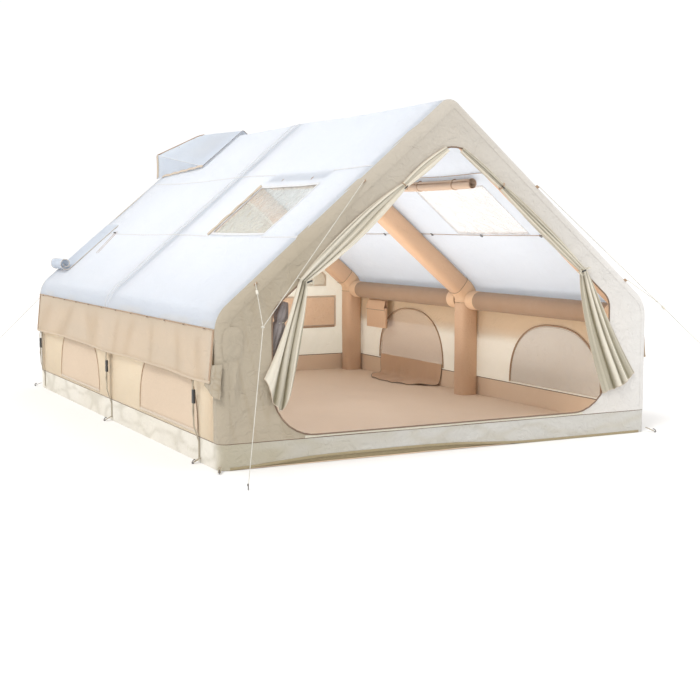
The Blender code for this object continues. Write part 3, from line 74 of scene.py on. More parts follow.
def bodySection(run, lift=0.0):
    # Right half of the outline: ridge arc, slope, eave arc, straight down; lift is square to it.
    run = np.asarray(run, float)
    turn = np.interp(run, [0, ridgeRun, eaveStart, eaveEnd], [pi / 2, normalAngle, normalAngle, 0])
    ridgeX = shape["ridgeRadius"] * np.cos(turn)
    ridgeZ = ridgeCentre + shape["ridgeRadius"] * np.sin(turn)
    along = run - ridgeRun
    slopeX = shape["ridgeRadius"] * cos(normalAngle) + along * cos(slopeAngle)
    slopeZ = ridgeCentre + shape["ridgeRadius"] * sin(normalAngle) - along * sin(slopeAngle)
    eaveX = halfWidth - shape["eaveRadius"] + shape["eaveRadius"] * np.cos(turn)
    eaveZ = eaveCentre + shape["eaveRadius"] * np.sin(turn)
    parts = [run < ridgeRun, run < eaveStart, run < eaveEnd]
    x = np.select(parts, [ridgeX, slopeX, eaveX], halfWidth)
    z = np.select(parts, [ridgeZ, slopeZ, eaveZ], eaveCentre - (run - eaveEnd))
    return x + lift * np.cos(turn), z + lift * np.sin(turn)


def fullTurn(count):
    # Even angles round a circle.
    return 2 * pi * np.arange(count) / count


def signedPower(values, power):
    # sign(v) |v|^p, for rounded squares.
    return np.sign(values) * np.abs(values) ** power


def ellipse(turn, across, up):
    # Points cos(turn) across + sin(turn) up.
    return stack(np.cos(turn), np.sin(turn)) @ np.array([across, up])


def addObject(name, data):
    # A new object of the scene.
    made = bpy.data.objects.new(name, data)
    scene.collection.objects.link(made)
    return made


def slopeOut(side):
    # Square to the slope.
    return np.array([side * sin(slopeAngle), 0, cos(slopeAngle)])


def slopeDown(side):
    # Along the slope, away from the ridge.
    return np.array([side * cos(slopeAngle), 0, -sin(slopeAngle)])


def slopeRunAt(x):
    # Run along the outline at a distance x from the ridge, on the slope.
    return ridgeRun + (x - shape["ridgeRadius"] * cos(normalAngle)) / cos(slopeAngle)


def ripple(a, b, size, seed):
    # Smooth unevenness from -1 to 1: sine waves in seeded directions, each bent by a slower one.
    count = 7
    dice = np.random.default_rng(seed)
    total = np.zeros(np.broadcast(a, b).shape)
    for k in range(count):
        turn, phase, bend = dice.uniform(0, 2 * pi, 3)
        pitch = 2 * pi / (size * dice.uniform(0.6, 1.5))
        slow = np.sin((a * cos(turn + 1.3) + b * sin(turn + 1.3)) * pitch * 0.45 + bend)
        total = total + np.sin((a * cos(turn) + b * sin(turn)) * pitch + phase + 1.4 * slow)
    return total / count ** 0.5 / 1.4


def creases(a, b, size, seed):
    # Sharp-topped folds from 0 to 1: where a smooth unevenness crosses zero.
    return np.exp(-(ripple(a, b, size, seed) / 0.22) ** 2)


def unit(values):
    # Held between 0 and 1.
    return np.clip(values, 0, 1)


def stack(*axes):
    # Points or map places from one array or value for each axis.
    return np.stack(np.broadcast_arrays(*axes), -1)


def lengthsAlong(path):
    # Running length at every point of a path.
    return np.concatenate([[0], np.cumsum(np.linalg.norm(np.diff(path, axis=0), axis=1))])


def makeMesh(name, points, loops, sizes, uv, shade=None):
    # A mesh from flat arrays of corners and face sizes, with its faces turned outwards.
    mesh = bpy.data.meshes.new(name)
    mesh.vertices.add(len(points))
    mesh.vertices.foreach_set("co", np.asarray(points, np.float32).ravel())
    mesh.loops.add(len(loops))
    mesh.loops.foreach_set("vertex_index", np.asarray(loops, np.int32))
    mesh.polygons.add(len(sizes))
    starts = np.concatenate([[0], np.cumsum(sizes)[:-1]]).astype(np.int32)
    mesh.polygons.foreach_set("loop_start", starts)
    mesh.polygons.foreach_set("use_smooth", np.ones(len(sizes), bool))
    layer = mesh.uv_layers.new(name="UVMap")
    layer.data.foreach_set("uv", np.asarray(uv, np.float32)[loops].ravel())
    # Painted shade and light: a value at each corner that the material mixes into the colour
    if shade is not None:
        paintedShadeAndLightLayer = mesh.attributes.new("painted_shade_and_light", "FLOAT", "CORNER")
        paintedShadeAndLightLayer.data.foreach_set("value", np.asarray(shade, np.float32)[loops])
    mesh.update(calc_edges=True)
    bm = bmesh.new()
    bm.from_mesh(mesh)
    bmesh.ops.remove_doubles(bm, verts=bm.verts, dist=2e-6)
    bmesh.ops.recalc_face_normals(bm, faces=bm.faces)
    bm.to_mesh(mesh)
    bm.free()
    return mesh


def addPiece(name, mesh, kind, body):
    # A finished piece that rides on a body and has one material.
    piece = addObject(name, mesh)
    mesh.materials.append(finish[kind])
    mesh.set_sharp_from_angle(angle=radians(50))
    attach(piece, body)
    return piece


def gridSlopes(grid, wrap, axis):
    # Difference of the neighbours on both sides, p(i + 1) - p(i - 1), along one axis.
    moved = np.moveaxis(grid, axis, 0)
    first = moved[-1:] if wrap else 2 * moved[:1] - moved[1:2]
    last = moved[:1] if wrap else 2 * moved[-1:] - moved[-2:-1]
    padded = np.concatenate([first, moved, last])
    return np.moveaxis(padded[2:] - padded[:-2], 0, axis)


def gridNormals(grid, wrapA=False, wrapB=False):
    # Unit cross product of the grid's two directions.
    normal = np.cross(gridSlopes(grid, wrapA, 0), gridSlopes(grid, wrapB, 1))
    return normal / np.maximum(np.linalg.norm(normal, axis=2, keepdims=True), 1e-9)


def gridQuads(n, m, wrapA, wrapB):
    # Corner numbers of every face of an n by m grid.
    i, j = np.meshgrid(np.arange(n if wrapA else n - 1), np.arange(m if wrapB else m - 1), indexing="ij")
    up, right = (i + 1) % n, (j + 1) % m
    return np.stack([i * m + j, up * m + j, up * m + right, i * m + right], -1).reshape(-1, 4)


def cloth(name, grid, uv, kind, thick, keep=None, wrap=(False, False), shade=None, body="tent"):
    # Two layers of a grid, the second moved back along its normals, closed round every open edge.
    n, m = grid.shape[:2]
    count = n * m
    back = grid - gridNormals(grid, *wrap) * thick
    points = np.concatenate([grid.reshape(-1, 3), back.reshape(-1, 3)])
    flat = np.concatenate([uv.reshape(-1, 2)] * 2)
    quads = gridQuads(n, m, *wrap)
    if keep is not None:
        quads = quads[keep.ravel()]
    edges = np.concatenate([quads[:, [k, (k + 1) % 4]] for k in range(4)])
    key = np.sort(edges, 1)
    _, index, seen = np.unique(key[:, 0] * count + key[:, 1], return_inverse=True, return_counts=True)
    rim = edges[seen[index] == 1]
    sides = np.stack([rim[:, 1], rim[:, 0], rim[:, 0] + count, rim[:, 1] + count], -1)
    faces = np.concatenate([quads, quads[:, ::-1] + count, sides])
    used, loops = np.unique(faces.ravel(), return_inverse=True)
    if shade is not None:  # one value for both layers, or a pair of them
        pair = shade if isinstance(shade, tuple) else (shade, shade)
        shade = np.concatenate([np.broadcast_to(one, grid.shape[:2]).ravel() for one in pair])[used]
    mesh = makeMesh(name, points[used], loops, np.full(len(faces), 4), flat[used], shade)
    return addPiece(name, mesh, kind, body)


def declareSheet(piece):
    # Reads the area of each face of the piece; nothing more is done with it.
    count = len(piece.data.polygons)
    areas = np.empty(count, np.float32)
    piece.data.polygons.foreach_get("area", areas)


def sweep(name, path, section, up, kind, wrap=False, size=1.0, swell=None, body="tent"):
    # A section of (side, up) points carried along a path, capped at its ends unless it closes.
    path = np.asarray(path, float)
    section = np.asarray(section, float)
    n, m = len(path), len(section)
    ahead = gridSlopes(path[:, None], wrap, 0)[:, 0]
    ahead = ahead / np.linalg.norm(ahead, axis=1, keepdims=True)
    side = np.cross(ahead, np.broadcast_to(np.asarray(up, float), path.shape))
    side = side / np.linalg.norm(side, axis=1, keepdims=True)
    lift = np.cross(side, ahead)
    size = np.broadcast_to(np.asarray(size, float), (n,))[:, None, None]
    if swell is not None:
        size = size * (1 + swell[:, :, None])
    grid = path[:, None] + (side[:, None] * section[:, :1] + lift[:, None] * section[:, 1:]) * size
    along = lengthsAlong(path)
    gaps = np.linalg.norm(section - np.roll(section, 1, axis=0), axis=1)
    uv = np.stack(np.meshgrid(along, np.cumsum(gaps), indexing="ij"), -1)
    quads = gridQuads(n, m, wrap, True)
    loops, sizes = quads.ravel(), np.full(len(quads), 4)
    if not wrap:
        ends = np.concatenate([np.arange(m)[::-1], (n - 1) * m + np.arange(m)])
        loops, sizes = np.concatenate([loops, ends]), np.concatenate([sizes, [m, m]])
    mesh = makeMesh(name, grid.reshape(-1, 3), loops, sizes, uv.reshape(-1, 2))
    return addPiece(name, mesh, kind, body)


def roundSection(radius, sides=8):
    # Circle of points, r (cos t, sin t).
    turn = fullTurn(sides)
    return stack(radius * np.cos(turn), radius * np.sin(turn))


def flatSection(width, thick, low=0.0):
    # A webbing or hem section with slightly rounded edges.
    w, t, e = width / 2, thick, min(width, thick) * 0.25
    return np.array([(-w, low + e), (e - w, low), (w - e, low), (w, low + e),
                     (w, low + t - e), (w - e, low + t), (e - w, low + t), (-w, low + t - e)])


# Shader helpers: groups that several finishes share
def newGroup(name, inputs, outputs):
    # An empty node group with its sockets.
    group = bpy.data.node_groups.new(name, "ShaderNodeTree")
    for label, kind, value in inputs:
        socket = group.interface.new_socket(label, in_out="INPUT", socket_type=kind)
        if value is not None:
            socket.default_value = value
    for label, kind in outputs:
        group.interface.new_socket(label, in_out="OUTPUT", socket_type=kind)
    return group, group.nodes.new("NodeGroupInput"), group.nodes.new("NodeGroupOutput")


def mathNode(tree, kind, first, second=None, third=None):
    # One sum, whose inputs are links or values.
    node = tree.nodes.new("ShaderNodeMath")
    node.operation = kind
    for socket, value in zip(node.inputs, (first, second, third)):
        if isinstance(value, bpy.types.NodeSocket):
            tree.links.new(value, socket)
        elif value is not None:
            socket.default_value = value
    return node.outputs[0]


def noiseNode(tree, vector, scale, detail=3.0, distortion=0.0):
    # Cloudy values from 0 to 1.
    node = tree.nodes.new("ShaderNodeTexNoise")
    node.inputs["Detail"].default_value = detail
    node.inputs["Distortion"].default_value = distortion
    tree.links.new(vector, node.inputs["Vector"])
    if isinstance(scale, bpy.types.NodeSocket):
        tree.links.new(scale, node.inputs["Scale"])
    else:
        node.inputs["Scale"].default_value = scale
    return node.outputs["Fac"]


def makeWeaveGroup():
    # Plain weave: two sine threads across each other, a little uneven.
    group, given, made = newGroup(
        "plainWeave", [("Vector", "NodeSocketVector", None), ("Threads", "NodeSocketFloat", 900.0)],
        [("Height", "NodeSocketFloat")])
    split = group.nodes.new("ShaderNodeSeparateXYZ")
    group.links.new(given.outputs["Vector"], split.inputs[0])
    threads = given.outputs["Threads"]
    across = mathNode(group, "SINE", mathNode(group, "MULTIPLY", split.outputs[0], threads))
    along = mathNode(group, "SINE", mathNode(group, "MULTIPLY", split.outputs[1], threads))
    uneven = noiseNode(group, given.outputs["Vector"], 60.0, 2.0)
    height = mathNode(group, "MULTIPLY_ADD", across, along, uneven)
    group.links.new(height, made.inputs["Height"])
    return group


def makeRumpleGroup():
    # Soft rumples and finer creases in one height, with a slow shade for colour.
    group, given, made = newGroup(
        "softRumple", [("Vector", "NodeSocketVector", None), ("Size", "NodeSocketFloat", 3.0)],
        [("Height", "NodeSocketFloat"), ("Shade", "NodeSocketFloat")])
    size = given.outputs["Size"]
    broad = noiseNode(group, given.outputs["Vector"], size, 2.0, 0.6)
    fine = noiseNode(group, given.outputs["Vector"], mathNode(group, "MULTIPLY", size, 4.3), 3.0, 1.2)
    folded = mathNode(group, "ABSOLUTE", mathNode(group, "SUBTRACT", fine, 0.5))
    height = mathNode(group, "MULTIPLY_ADD", folded, -0.55, broad)
    group.links.new(height, made.inputs["Height"])
    group.links.new(noiseNode(group, given.outputs["Vector"], 1.7, 4.0), made.inputs["Shade"])
    return group


def makeSoilGroup():
    # Dust that gathers near the ground, broken up by noise.
    group, given, made = newGroup(
        "groundDust", [("Vector", "NodeSocketVector", None), ("Reach", "NodeSocketFloat", 0.3)],
        [("Mask", "NodeSocketFloat")])
    split = group.nodes.new("ShaderNodeSeparateXYZ")
    group.links.new(given.outputs["Vector"], split.inputs[0])
    rise = mathNode(group, "DIVIDE", split.outputs[2], given.outputs["Reach"])
    fade = mathNode(group, "SUBTRACT", 1.0, rise)
    fade.node.use_clamp = True
    mask = mathNode(group, "MULTIPLY", fade, noiseNode(group, given.outputs["Vector"], 9.0, 5.0))
    group.links.new(mask, made.inputs["Mask"])
    return group


weaveGroup = makeWeaveGroup()
rumpleGroup = makeRumpleGroup()
soilGroup = makeSoilGroup()


def useGroup(tree, group, vector, **values):
    # A group's node, fed with a place and values.
    node = tree.nodes.new("ShaderNodeGroup")
    node.node_tree = group
    tree.links.new(vector, node.inputs["Vector"])
    for label, value in values.items():
        node.inputs[label].default_value = value
    return node


def mixColour(tree, share, first, second):
    # first (1 - share) + second share.
    node = tree.nodes.new("ShaderNodeMix")
    node.data_type = "RGBA"
    for socket, value in ((node.inputs[0], share), (node.inputs[6], first), (node.inputs[7], second)):
        if isinstance(value, bpy.types.NodeSocket):
            tree.links.new(value, socket)
        else:
            socket.default_value = value if socket == node.inputs[0] else (*value, 1.0)
    return node.outputs[2]


def addBump(tree, height, distance, normal=None, strength=1.0):
    # Normals tilted by a height, on top of others if given.
    node = tree.nodes.new("ShaderNodeBump")
    node.inputs["Distance"].default_value = distance
    node.inputs["Strength"].default_value = strength
    tree.links.new(height, node.inputs["Height"])
    if normal:
        tree.links.new(normal, node.inputs["Normal"])
    return node.outputs["Normal"]


def newMaterial(name):
    # A material with its tree and its main shader.
    made = bpy.data.materials.new(name)
    made.use_nodes = True
    return made, made.node_tree, made.node_tree.nodes["Principled BSDF"]


def makeCloth(name, colour, deep, sheer, rough=0.85, rumple=2.2, rumpleDeep=0.02, soil=0.25, glow=None,
              band=None, paintedShadeAndLight=None):
    # Woven cloth: two shades, rumples, weave, dust, painted light and shade where asked, and some light let
    # through from behind.
    made, tree, shader = newMaterial(name)
    place = tree.nodes.new("ShaderNodeTexCoord")
    rumples = useGroup(tree, rumpleGroup, place.outputs["Object"], Size=rumple)
    weave = useGroup(tree, weaveGroup, place.outputs["UV"], Threads=1400.0)
    dust = useGroup(tree, soilGroup, place.outputs["Object"], Reach=0.35)
    tone = mixColour(tree, rumples.outputs["Shade"], deep, colour)
    if band:  # painted light and shade: a second colour that comes in along one axis
        split = tree.nodes.new("ShaderNodeSeparateXYZ")
        tree.links.new(place.outputs["Object"], split.inputs[0])
        ramp = tree.nodes.new("ShaderNodeMapRange")
        ramp.inputs["From Min"].default_value, ramp.inputs["From Max"].default_value = band["reach"]
        tree.links.new(split.outputs[band["axis"]], ramp.inputs["Value"])
        tone = mixColour(tree, ramp.outputs["Result"], tone, band["colour"])
    if paintedShadeAndLight:  # painted shade down in the folds, and the painted light of pale inner faces, where the piece has that attribute
        folds = tree.nodes.new("ShaderNodeAttribute")
        folds.attribute_name = "painted_shade_and_light"
        tone = mixColour(tree, folds.outputs["Fac"], tone, paintedShadeAndLight)
    soiled = mathNode(tree, "MULTIPLY", dust.outputs["Mask"], soil)
    tone = mixColour(tree, soiled, tone, (0.42, 0.36, 0.28))
    tree.links.new(tone, shader.inputs["Base Color"])
    shader.inputs["Roughness"].default_value = rough
    shader.inputs["Sheen Weight"].default_value = 0.15
    normal = addBump(tree, rumples.outputs["Height"], rumpleDeep)
    normal = addBump(tree, weave.outputs["Height"], 0.0004, normal, 0.5)
    tree.links.new(normal, shader.inputs["Normal"])
    if sheer:
        through = tree.nodes.new("ShaderNodeBsdfTranslucent")
        through.inputs["Color"].default_value = (*(glow or colour), 1.0)
        tree.links.new(normal, through.inputs["Normal"])
        mix = tree.nodes.new("ShaderNodeMixShader")
        mix.inputs["Fac"].default_value = sheer
        tree.links.new(shader.outputs[0], mix.inputs[1])
        tree.links.new(through.outputs[0], mix.inputs[2])
        tree.links.new(mix.outputs[0], tree.nodes["Material Output"].inputs["Surface"])
    return made


def makeNet(name, colour, deep, holes):
    # Insect net: a fine weave whose holes let part of the view through.
    made, tree, shader = newMaterial(name)
    place = tree.nodes.new("ShaderNodeTexCoord")
    rumples = useGroup(tree, rumpleGroup, place.outputs["Object"], Size=2.0)
    weave = useGroup(tree, weaveGroup, place.outputs["UV"], Threads=2200.0)
    tone = mixColour(tree, rumples.outputs["Shade"], deep, colour)
    tree.links.new(tone, shader.inputs["Base Color"])
    shader.inputs["Roughness"].default_value = 0.9
    cover = mathNode(tree, "MULTIPLY_ADD", weave.outputs["Height"], 0.12, 1 - holes)
    cover.node.use_clamp = True
    tree.links.new(cover, shader.inputs["Alpha"])
    tree.links.new(addBump(tree, rumples.outputs["Height"], 0.01), shader.inputs["Normal"])
    return made


def makeFilm(name, colour, cover):
    # Clear film gone hazy: thin, glossy and wrinkled.
    made, tree, shader = newMaterial(name)
    place = tree.nodes.new("ShaderNodeTexCoord")
    rumples = useGroup(tree, rumpleGroup, place.outputs["Object"], Size=9.0)
    haze = mathNode(tree, "MULTIPLY_ADD", rumples.outputs["Shade"], 0.5, cover - 0.25)
    tree.links.new(haze, shader.inputs["Alpha"])
    shader.inputs["Base Color"].default_value = (*colour, 1.0)
    shader.inputs["Roughness"].default_value = 0.12
    shader.inputs["Coat Weight"].default_value = 0.4
    tree.links.new(addBump(tree, rumples.outputs["Height"], 0.03), shader.inputs["Normal"])
    return made


def makeHard(name, colour, deep, rough=0.45, metal=0.0):
    # Moulded plastic or bent wire: slight mottling, fine grain and uneven gloss.
    made, tree, shader = newMaterial(name)
    place = tree.nodes.new("ShaderNodeTexCoord")
    speck = noiseNode(tree, place.outputs["Object"], 180.0, 4.0)
    tree.links.new(mixColour(tree, speck, deep, colour), shader.inputs["Base Color"])
    gloss = mathNode(tree, "MULTIPLY_ADD", speck, 0.25, rough - 0.12)
    tree.links.new(gloss, shader.inputs["Roughness"])
    shader.inputs["Metallic"].default_value = metal
    tree.links.new(addBump(tree, speck, 0.0006), shader.inputs["Normal"])
    return made


def makeBraid(name, colour, deep, pitch=900.0):
    # Braided cord or webbing: slanting ribs from the piece's own map.
    made, tree, shader = newMaterial(name)
    place = tree.nodes.new("ShaderNodeTexCoord")
    weave = useGroup(tree, weaveGroup, place.outputs["UV"], Threads=pitch)
    tree.links.new(mixColour(tree, weave.outputs["Height"], deep, colour), shader.inputs["Base Color"])
    shader.inputs["Roughness"].default_value = 0.8
    shader.inputs["Sheen Weight"].default_value = 0.1
    tree.links.new(addBump(tree, weave.outputs["Height"], 0.0006), shader.inputs["Normal"])
    return made


coated = {"sheer": 0.0, "rumple": 5.0, "rumpleDeep": 0.012, "soil": 0.05}
finish = {
    "roof": makeCloth("roofCloth", (0.72, 0.78, 0.86), (0.65, 0.71, 0.80), sheer=0.45, soil=0.08,
                      glow=(0.96, 0.97, 0.98)),
    # Painted light: the sleeve lighter and cooler towards the right, where more light falls; painted shade in
    # its folds where a piece has the attribute.
    "sleeve": makeCloth("sleeveCloth", (0.48, 0.42, 0.33), (0.41, 0.35, 0.26), sheer=0.12, rumple=3.0,
                        rumpleDeep=0.03, glow=(0.80, 0.72, 0.58), paintedShadeAndLight=(0.33, 0.25, 0.15),
                        band={"axis": 0, "reach": (-1.0, 1.9), "colour": (0.78, 0.77, 0.76)}),
    # Painted shade: dark olive down in the fold valleys.
    "curtain": makeCloth("curtainCloth", (0.86, 0.82, 0.73), (0.78, 0.73, 0.62), sheer=0.22,
                         glow=(0.90, 0.84, 0.66), paintedShadeAndLight=(0.25, 0.22, 0.14)),
    # Painted light and shade: the inner face pale where daylight comes through, and a tan band above the
    # valance's foot for the valance's shade.
    "wall": makeCloth("wallCloth", (0.78, 0.67, 0.49), (0.74, 0.62, 0.44), sheer=0.58,
                      glow=(0.99, 0.95, 0.87), paintedShadeAndLight=(0.98, 0.96, 0.92),
                      band={"axis": 2, "reach": (0.47, 0.53), "colour": (0.96, 0.79, 0.61)}),
    # Painted light and shadow: paler soft diagonal stripes where the piece has the attribute.
    "backWall": makeCloth("backWallCloth", (0.96, 0.94, 0.88), (0.92, 0.89, 0.81), sheer=0.62,
                          glow=(0.98, 0.95, 0.87), paintedShadeAndLight=(0.98, 0.96, 0.90)),
    # Painted shade in the folds.
    "valance": makeCloth("valanceCloth", (0.75, 0.65, 0.53), (0.69, 0.59, 0.46), sheer=0.35,
                         glow=(0.92, 0.80, 0.62), paintedShadeAndLight=(0.58, 0.47, 0.34)),
    "floor": makeCloth("floorCloth", (0.82, 0.64, 0.48), (0.76, 0.58, 0.42), sheer=0.0, rough=0.6,
                       rumple=1.4, rumpleDeep=0.008, soil=0.05),
    # Painted light: the sunlit left face keeps the light colour and the rest of the edge is painted grey;
    # painted shade in its creases.
    "tub": makeCloth("tubCloth", (0.88, 0.85, 0.78), (0.82, 0.77, 0.66), sheer=0.1, rumple=3.0,
                     rumpleDeep=0.03, soil=0.3, paintedShadeAndLight=(0.46, 0.42, 0.32),
                     band={"axis": 0, "reach": (-1.49, -1.41), "colour": (0.58, 0.57, 0.54)}),
    "beam": makeCloth("beamCloth", (0.70, 0.47, 0.31), (0.64, 0.42, 0.27), **coated),
    "purlin": makeCloth("purlinCloth", (0.38, 0.25, 0.16), (0.34, 0.22, 0.14), **coated),
    "joint": makeCloth("jointCloth", (0.78, 0.54, 0.35), (0.72, 0.48, 0.30), **coated),
    "piping": makeBraid("brownPiping", (0.26, 0.17, 0.11), (0.15, 0.10, 0.07)),
    "zip": makeBraid("zipTape", (0.52, 0.35, 0.23), (0.38, 0.25, 0.16)),
    "underside": makeBraid("tubUnderside", (0.40, 0.33, 0.20), (0.26, 0.21, 0.12)),
    "hem": makeBraid("hemTape", (0.70, 0.60, 0.48), (0.54, 0.45, 0.36)),
    "whiteHem": makeBraid("roofTape", (0.82, 0.83, 0.85), (0.64, 0.64, 0.66)),
    "webbing": makeBraid("creamWebbing", (0.78, 0.74, 0.62), (0.60, 0.56, 0.45), 1500.0),
    "strap": makeBraid("strapWebbing", (0.46, 0.39, 0.28), (0.33, 0.28, 0.20), 1500.0),
    "net": makeNet("windowNet", (0.82, 0.67, 0.52), (0.74, 0.60, 0.46), 0.34),
    "gableNet": makeNet("gableNet", (0.80, 0.74, 0.60), (0.70, 0.65, 0.50), 0.28),
    "netRoll": makeNet("netRollCloth", (0.34, 0.31, 0.31), (0.22, 0.19, 0.18), 0.1),
    "backPanel": makeCloth("backPanelCloth", (0.82, 0.64, 0.48), (0.70, 0.53, 0.38), sheer=0.5,
                           rumple=9.0, glow=(0.95, 0.78, 0.62)),
    # Painted light: the inner face painted pale, as if lit through the cloth.
    "cover": makeCloth("coverCloth", (0.70, 0.56, 0.40), (0.64, 0.50, 0.35), sheer=0.36,
                       glow=(1.0, 0.96, 0.88), paintedShadeAndLight=(0.98, 0.96, 0.90)),
    "roll": makeCloth("rollCloth", (0.74, 0.58, 0.45), (0.66, 0.50, 0.38), sheer=0.2,
                      glow=(0.95, 0.80, 0.62)),
    "draped": makeCloth("openedCoverCloth", (0.82, 0.57, 0.38), (0.74, 0.49, 0.31), sheer=0.2,
                        glow=(0.92, 0.70, 0.50)),
    "film": makeFilm("skylightFilm", (0.64, 0.68, 0.66), 0.42),
    # Painted light: the right film painted near white for the bright sky seen through it; it is the same film
    # as the left one.
    "skyLitFilm": makeFilm("skyLitSkylightFilm", (0.95, 0.95, 0.95), 0.27),
    "black": makeHard("blackPlastic", (0.03, 0.03, 0.03), (0.015, 0.015, 0.015)),
    "grey": makeHard("greyPlastic", (0.60, 0.57, 0.50), (0.52, 0.49, 0.43)),
    "cream": makeHard("creamPlastic", (0.72, 0.69, 0.60), (0.62, 0.58, 0.50)),
    "steel": makeHard("pegSteel", (0.16, 0.15, 0.14), (0.09, 0.08, 0.08), 0.4, 0.8),
    "cord": makeBraid("guyCord", (0.85, 0.83, 0.76), (0.66, 0.63, 0.55), 1800.0),
}
print("finishes made:", len(finish))


def sagged(run, y):
    # How far the skin hangs in between the arches: most in mid bay, none at an arch or the eave.
    bay = unit((np.abs(y) - 0.08) / 1.86)
    across = np.interp(run, [0, 0.3, 1.0, eaveStart - 0.1, eaveEnd, wallEnd], [0.7, 1, 1, 0.35, 0, 0])
    return -shape["roofSag"] * np.sin(pi * bay) ** 1.2 * across


def skinPoint(run, y, lift, side):
    # A point of the tent's skin, with its sag and gentle billows.
    run, y = np.broadcast_arrays(np.asarray(run, float), np.asarray(y, float))
    fade = unit((run - 0.05) / 0.3) * unit((2.03 - np.abs(y)) / 0.25)
    lift = lift + sagged(run, y) + shape["billow"] * fade * ripple(run, y, 0.7, 5 + side)
    x, z = bodySection(run, lift)
    return stack(side * x, y, z)


def marks(low, high, step, stops=()):
    # Evenly spaced values from low to high that also meet every stop.
    ends = np.unique(np.round([low, *[s for s in stops if low < s < high], high], 6))
    spans = [np.linspace(a, b, max(int(np.ceil((b - a) / step)), 1) + 1)[:-1] for a, b in zip(ends, ends[1:])]
    return np.concatenate([*spans, [high]])


def cutHoles(a, b, holes):
    # Which faces to keep, after the grid's lines beside each hole are moved onto its outline.
    middleA = (a[1:, 1:] + a[:-1, :-1] + a[1:, :-1] + a[:-1, 1:]) / 4
    middleB = (b[1:, 1:] + b[:-1, :-1] + b[1:, :-1] + b[:-1, 1:]) / 4
    keep = np.ones(middleA.shape, bool)
    for hole in holes:
        inside = hole(middleA, middleB) < 0
        keep &= ~inside
        touch = np.zeros((2, *a.shape), bool)
        for i, j in ((0, 0), (0, 1), (1, 0), (1, 1)):
            part = (slice(i, i + inside.shape[0]), slice(j, j + inside.shape[1]))
            touch[0][part] |= inside
            touch[1][part] |= ~inside
        edge = touch[0] & touch[1]
        p, q = a[edge], b[edge]
        for _ in range(6):
            d = hole(p, q)
            dp = (hole(p + 1e-5, q) - hole(p - 1e-5, q)) / 2e-5
            dq = (hole(p, q + 1e-5) - hole(p, q - 1e-5)) / 2e-5
            size = np.maximum(dp * dp + dq * dq, 1e-6)
            p, q = p - d * dp / size, q - d * dq / size
        a[edge], b[edge] = p, q
    return keep


def outlineTube(name, path, radius, kind, closed=False, up=(0, 1, 0), sides=6, body="tent"):
    # A thin tube along a path, for piping, hems and cords.
    return sweep(name, path, roundSection(radius, sides), up, kind, closed, body=body)


# Roof halves, from the ridge to the toggle line, and the valances below it
roof = {
    "end": 2.0417, "vent": (0.28, 1.38, 1.84), "light": (0.60, 0.97, -1.50, -0.60),
    "seam": eaveEnd - 0.022, "buckles": {"Front": -1.771, "Middle": -0.006, "Back": 1.95},
}
valance = {"foot": 0.485, "flare": 0.031, "thick": 0.0025, "hem": (0.016, 0.002), "bound": (0.022, 0.0014),
           "seam": 0.0022, "toggle": 0.0036, "toggles": 12}
lightRuns = (slopeRunAt(roof["light"][0]), slopeRunAt(roof["light"][1]))
ventRun = slopeRunAt(roof["vent"][0])


def makeRoofSide(side, name):
    # One slope with the openings of its skylight and half of the vent.
    runs = marks(0.0005, roof["seam"], 0.021, (*lightRuns, ventRun, eaveStart))
    ys = marks(-roof["end"], roof["end"], 0.024, (*roof["light"][2:], *roof["vent"][1:]))
    run, y = np.meshgrid(runs, ys, indexing="ij")
    pull = creases(run * 0.6, y, 0.55, 31 + side) * unit((eaveEnd - run) / 0.6)
    grid = skinPoint(run, y, skin - 0.0012 * pull, side)
    middleRun, middleY = (runs[1:, None] + runs[:-1, None]) / 2, (ys[None, 1:] + ys[None, :-1]) / 2
    light = (middleRun > lightRuns[0]) & (middleRun < lightRuns[1])
    light = light & (middleY > roof["light"][2]) & (middleY < roof["light"][3])
    vent = (middleRun < ventRun) & (middleY > roof["vent"][1]) & (middleY < roof["vent"][2])
    made = cloth(name, grid, stack(run, y), "roof", side * shape["cloth"], ~(light | vent))
    declareSheet(made)
    return made


def valanceGrid(side, drops, y, lift):
    # The valance flares outwards as it drops and pinches in at each buckle.
    top = eaveCentre + 0.02
    z = top + (valance["foot"] - top) * drops
    near = np.min([np.abs(y - b) for b in roof["buckles"].values()], axis=0)
    wave = ripple(y, drops * 0.1, 0.5, 91 + side) * 0.006 * drops * np.clip(near / 0.25, 0.1, 1)
    lifted = 0.012 * drops * unit(near / 0.5) ** 1.5
    x = halfWidth + lift + valance["flare"] * unit((eaveCentre - z) / 0.2816) + wave
    return stack(side * x, y, z + lifted)


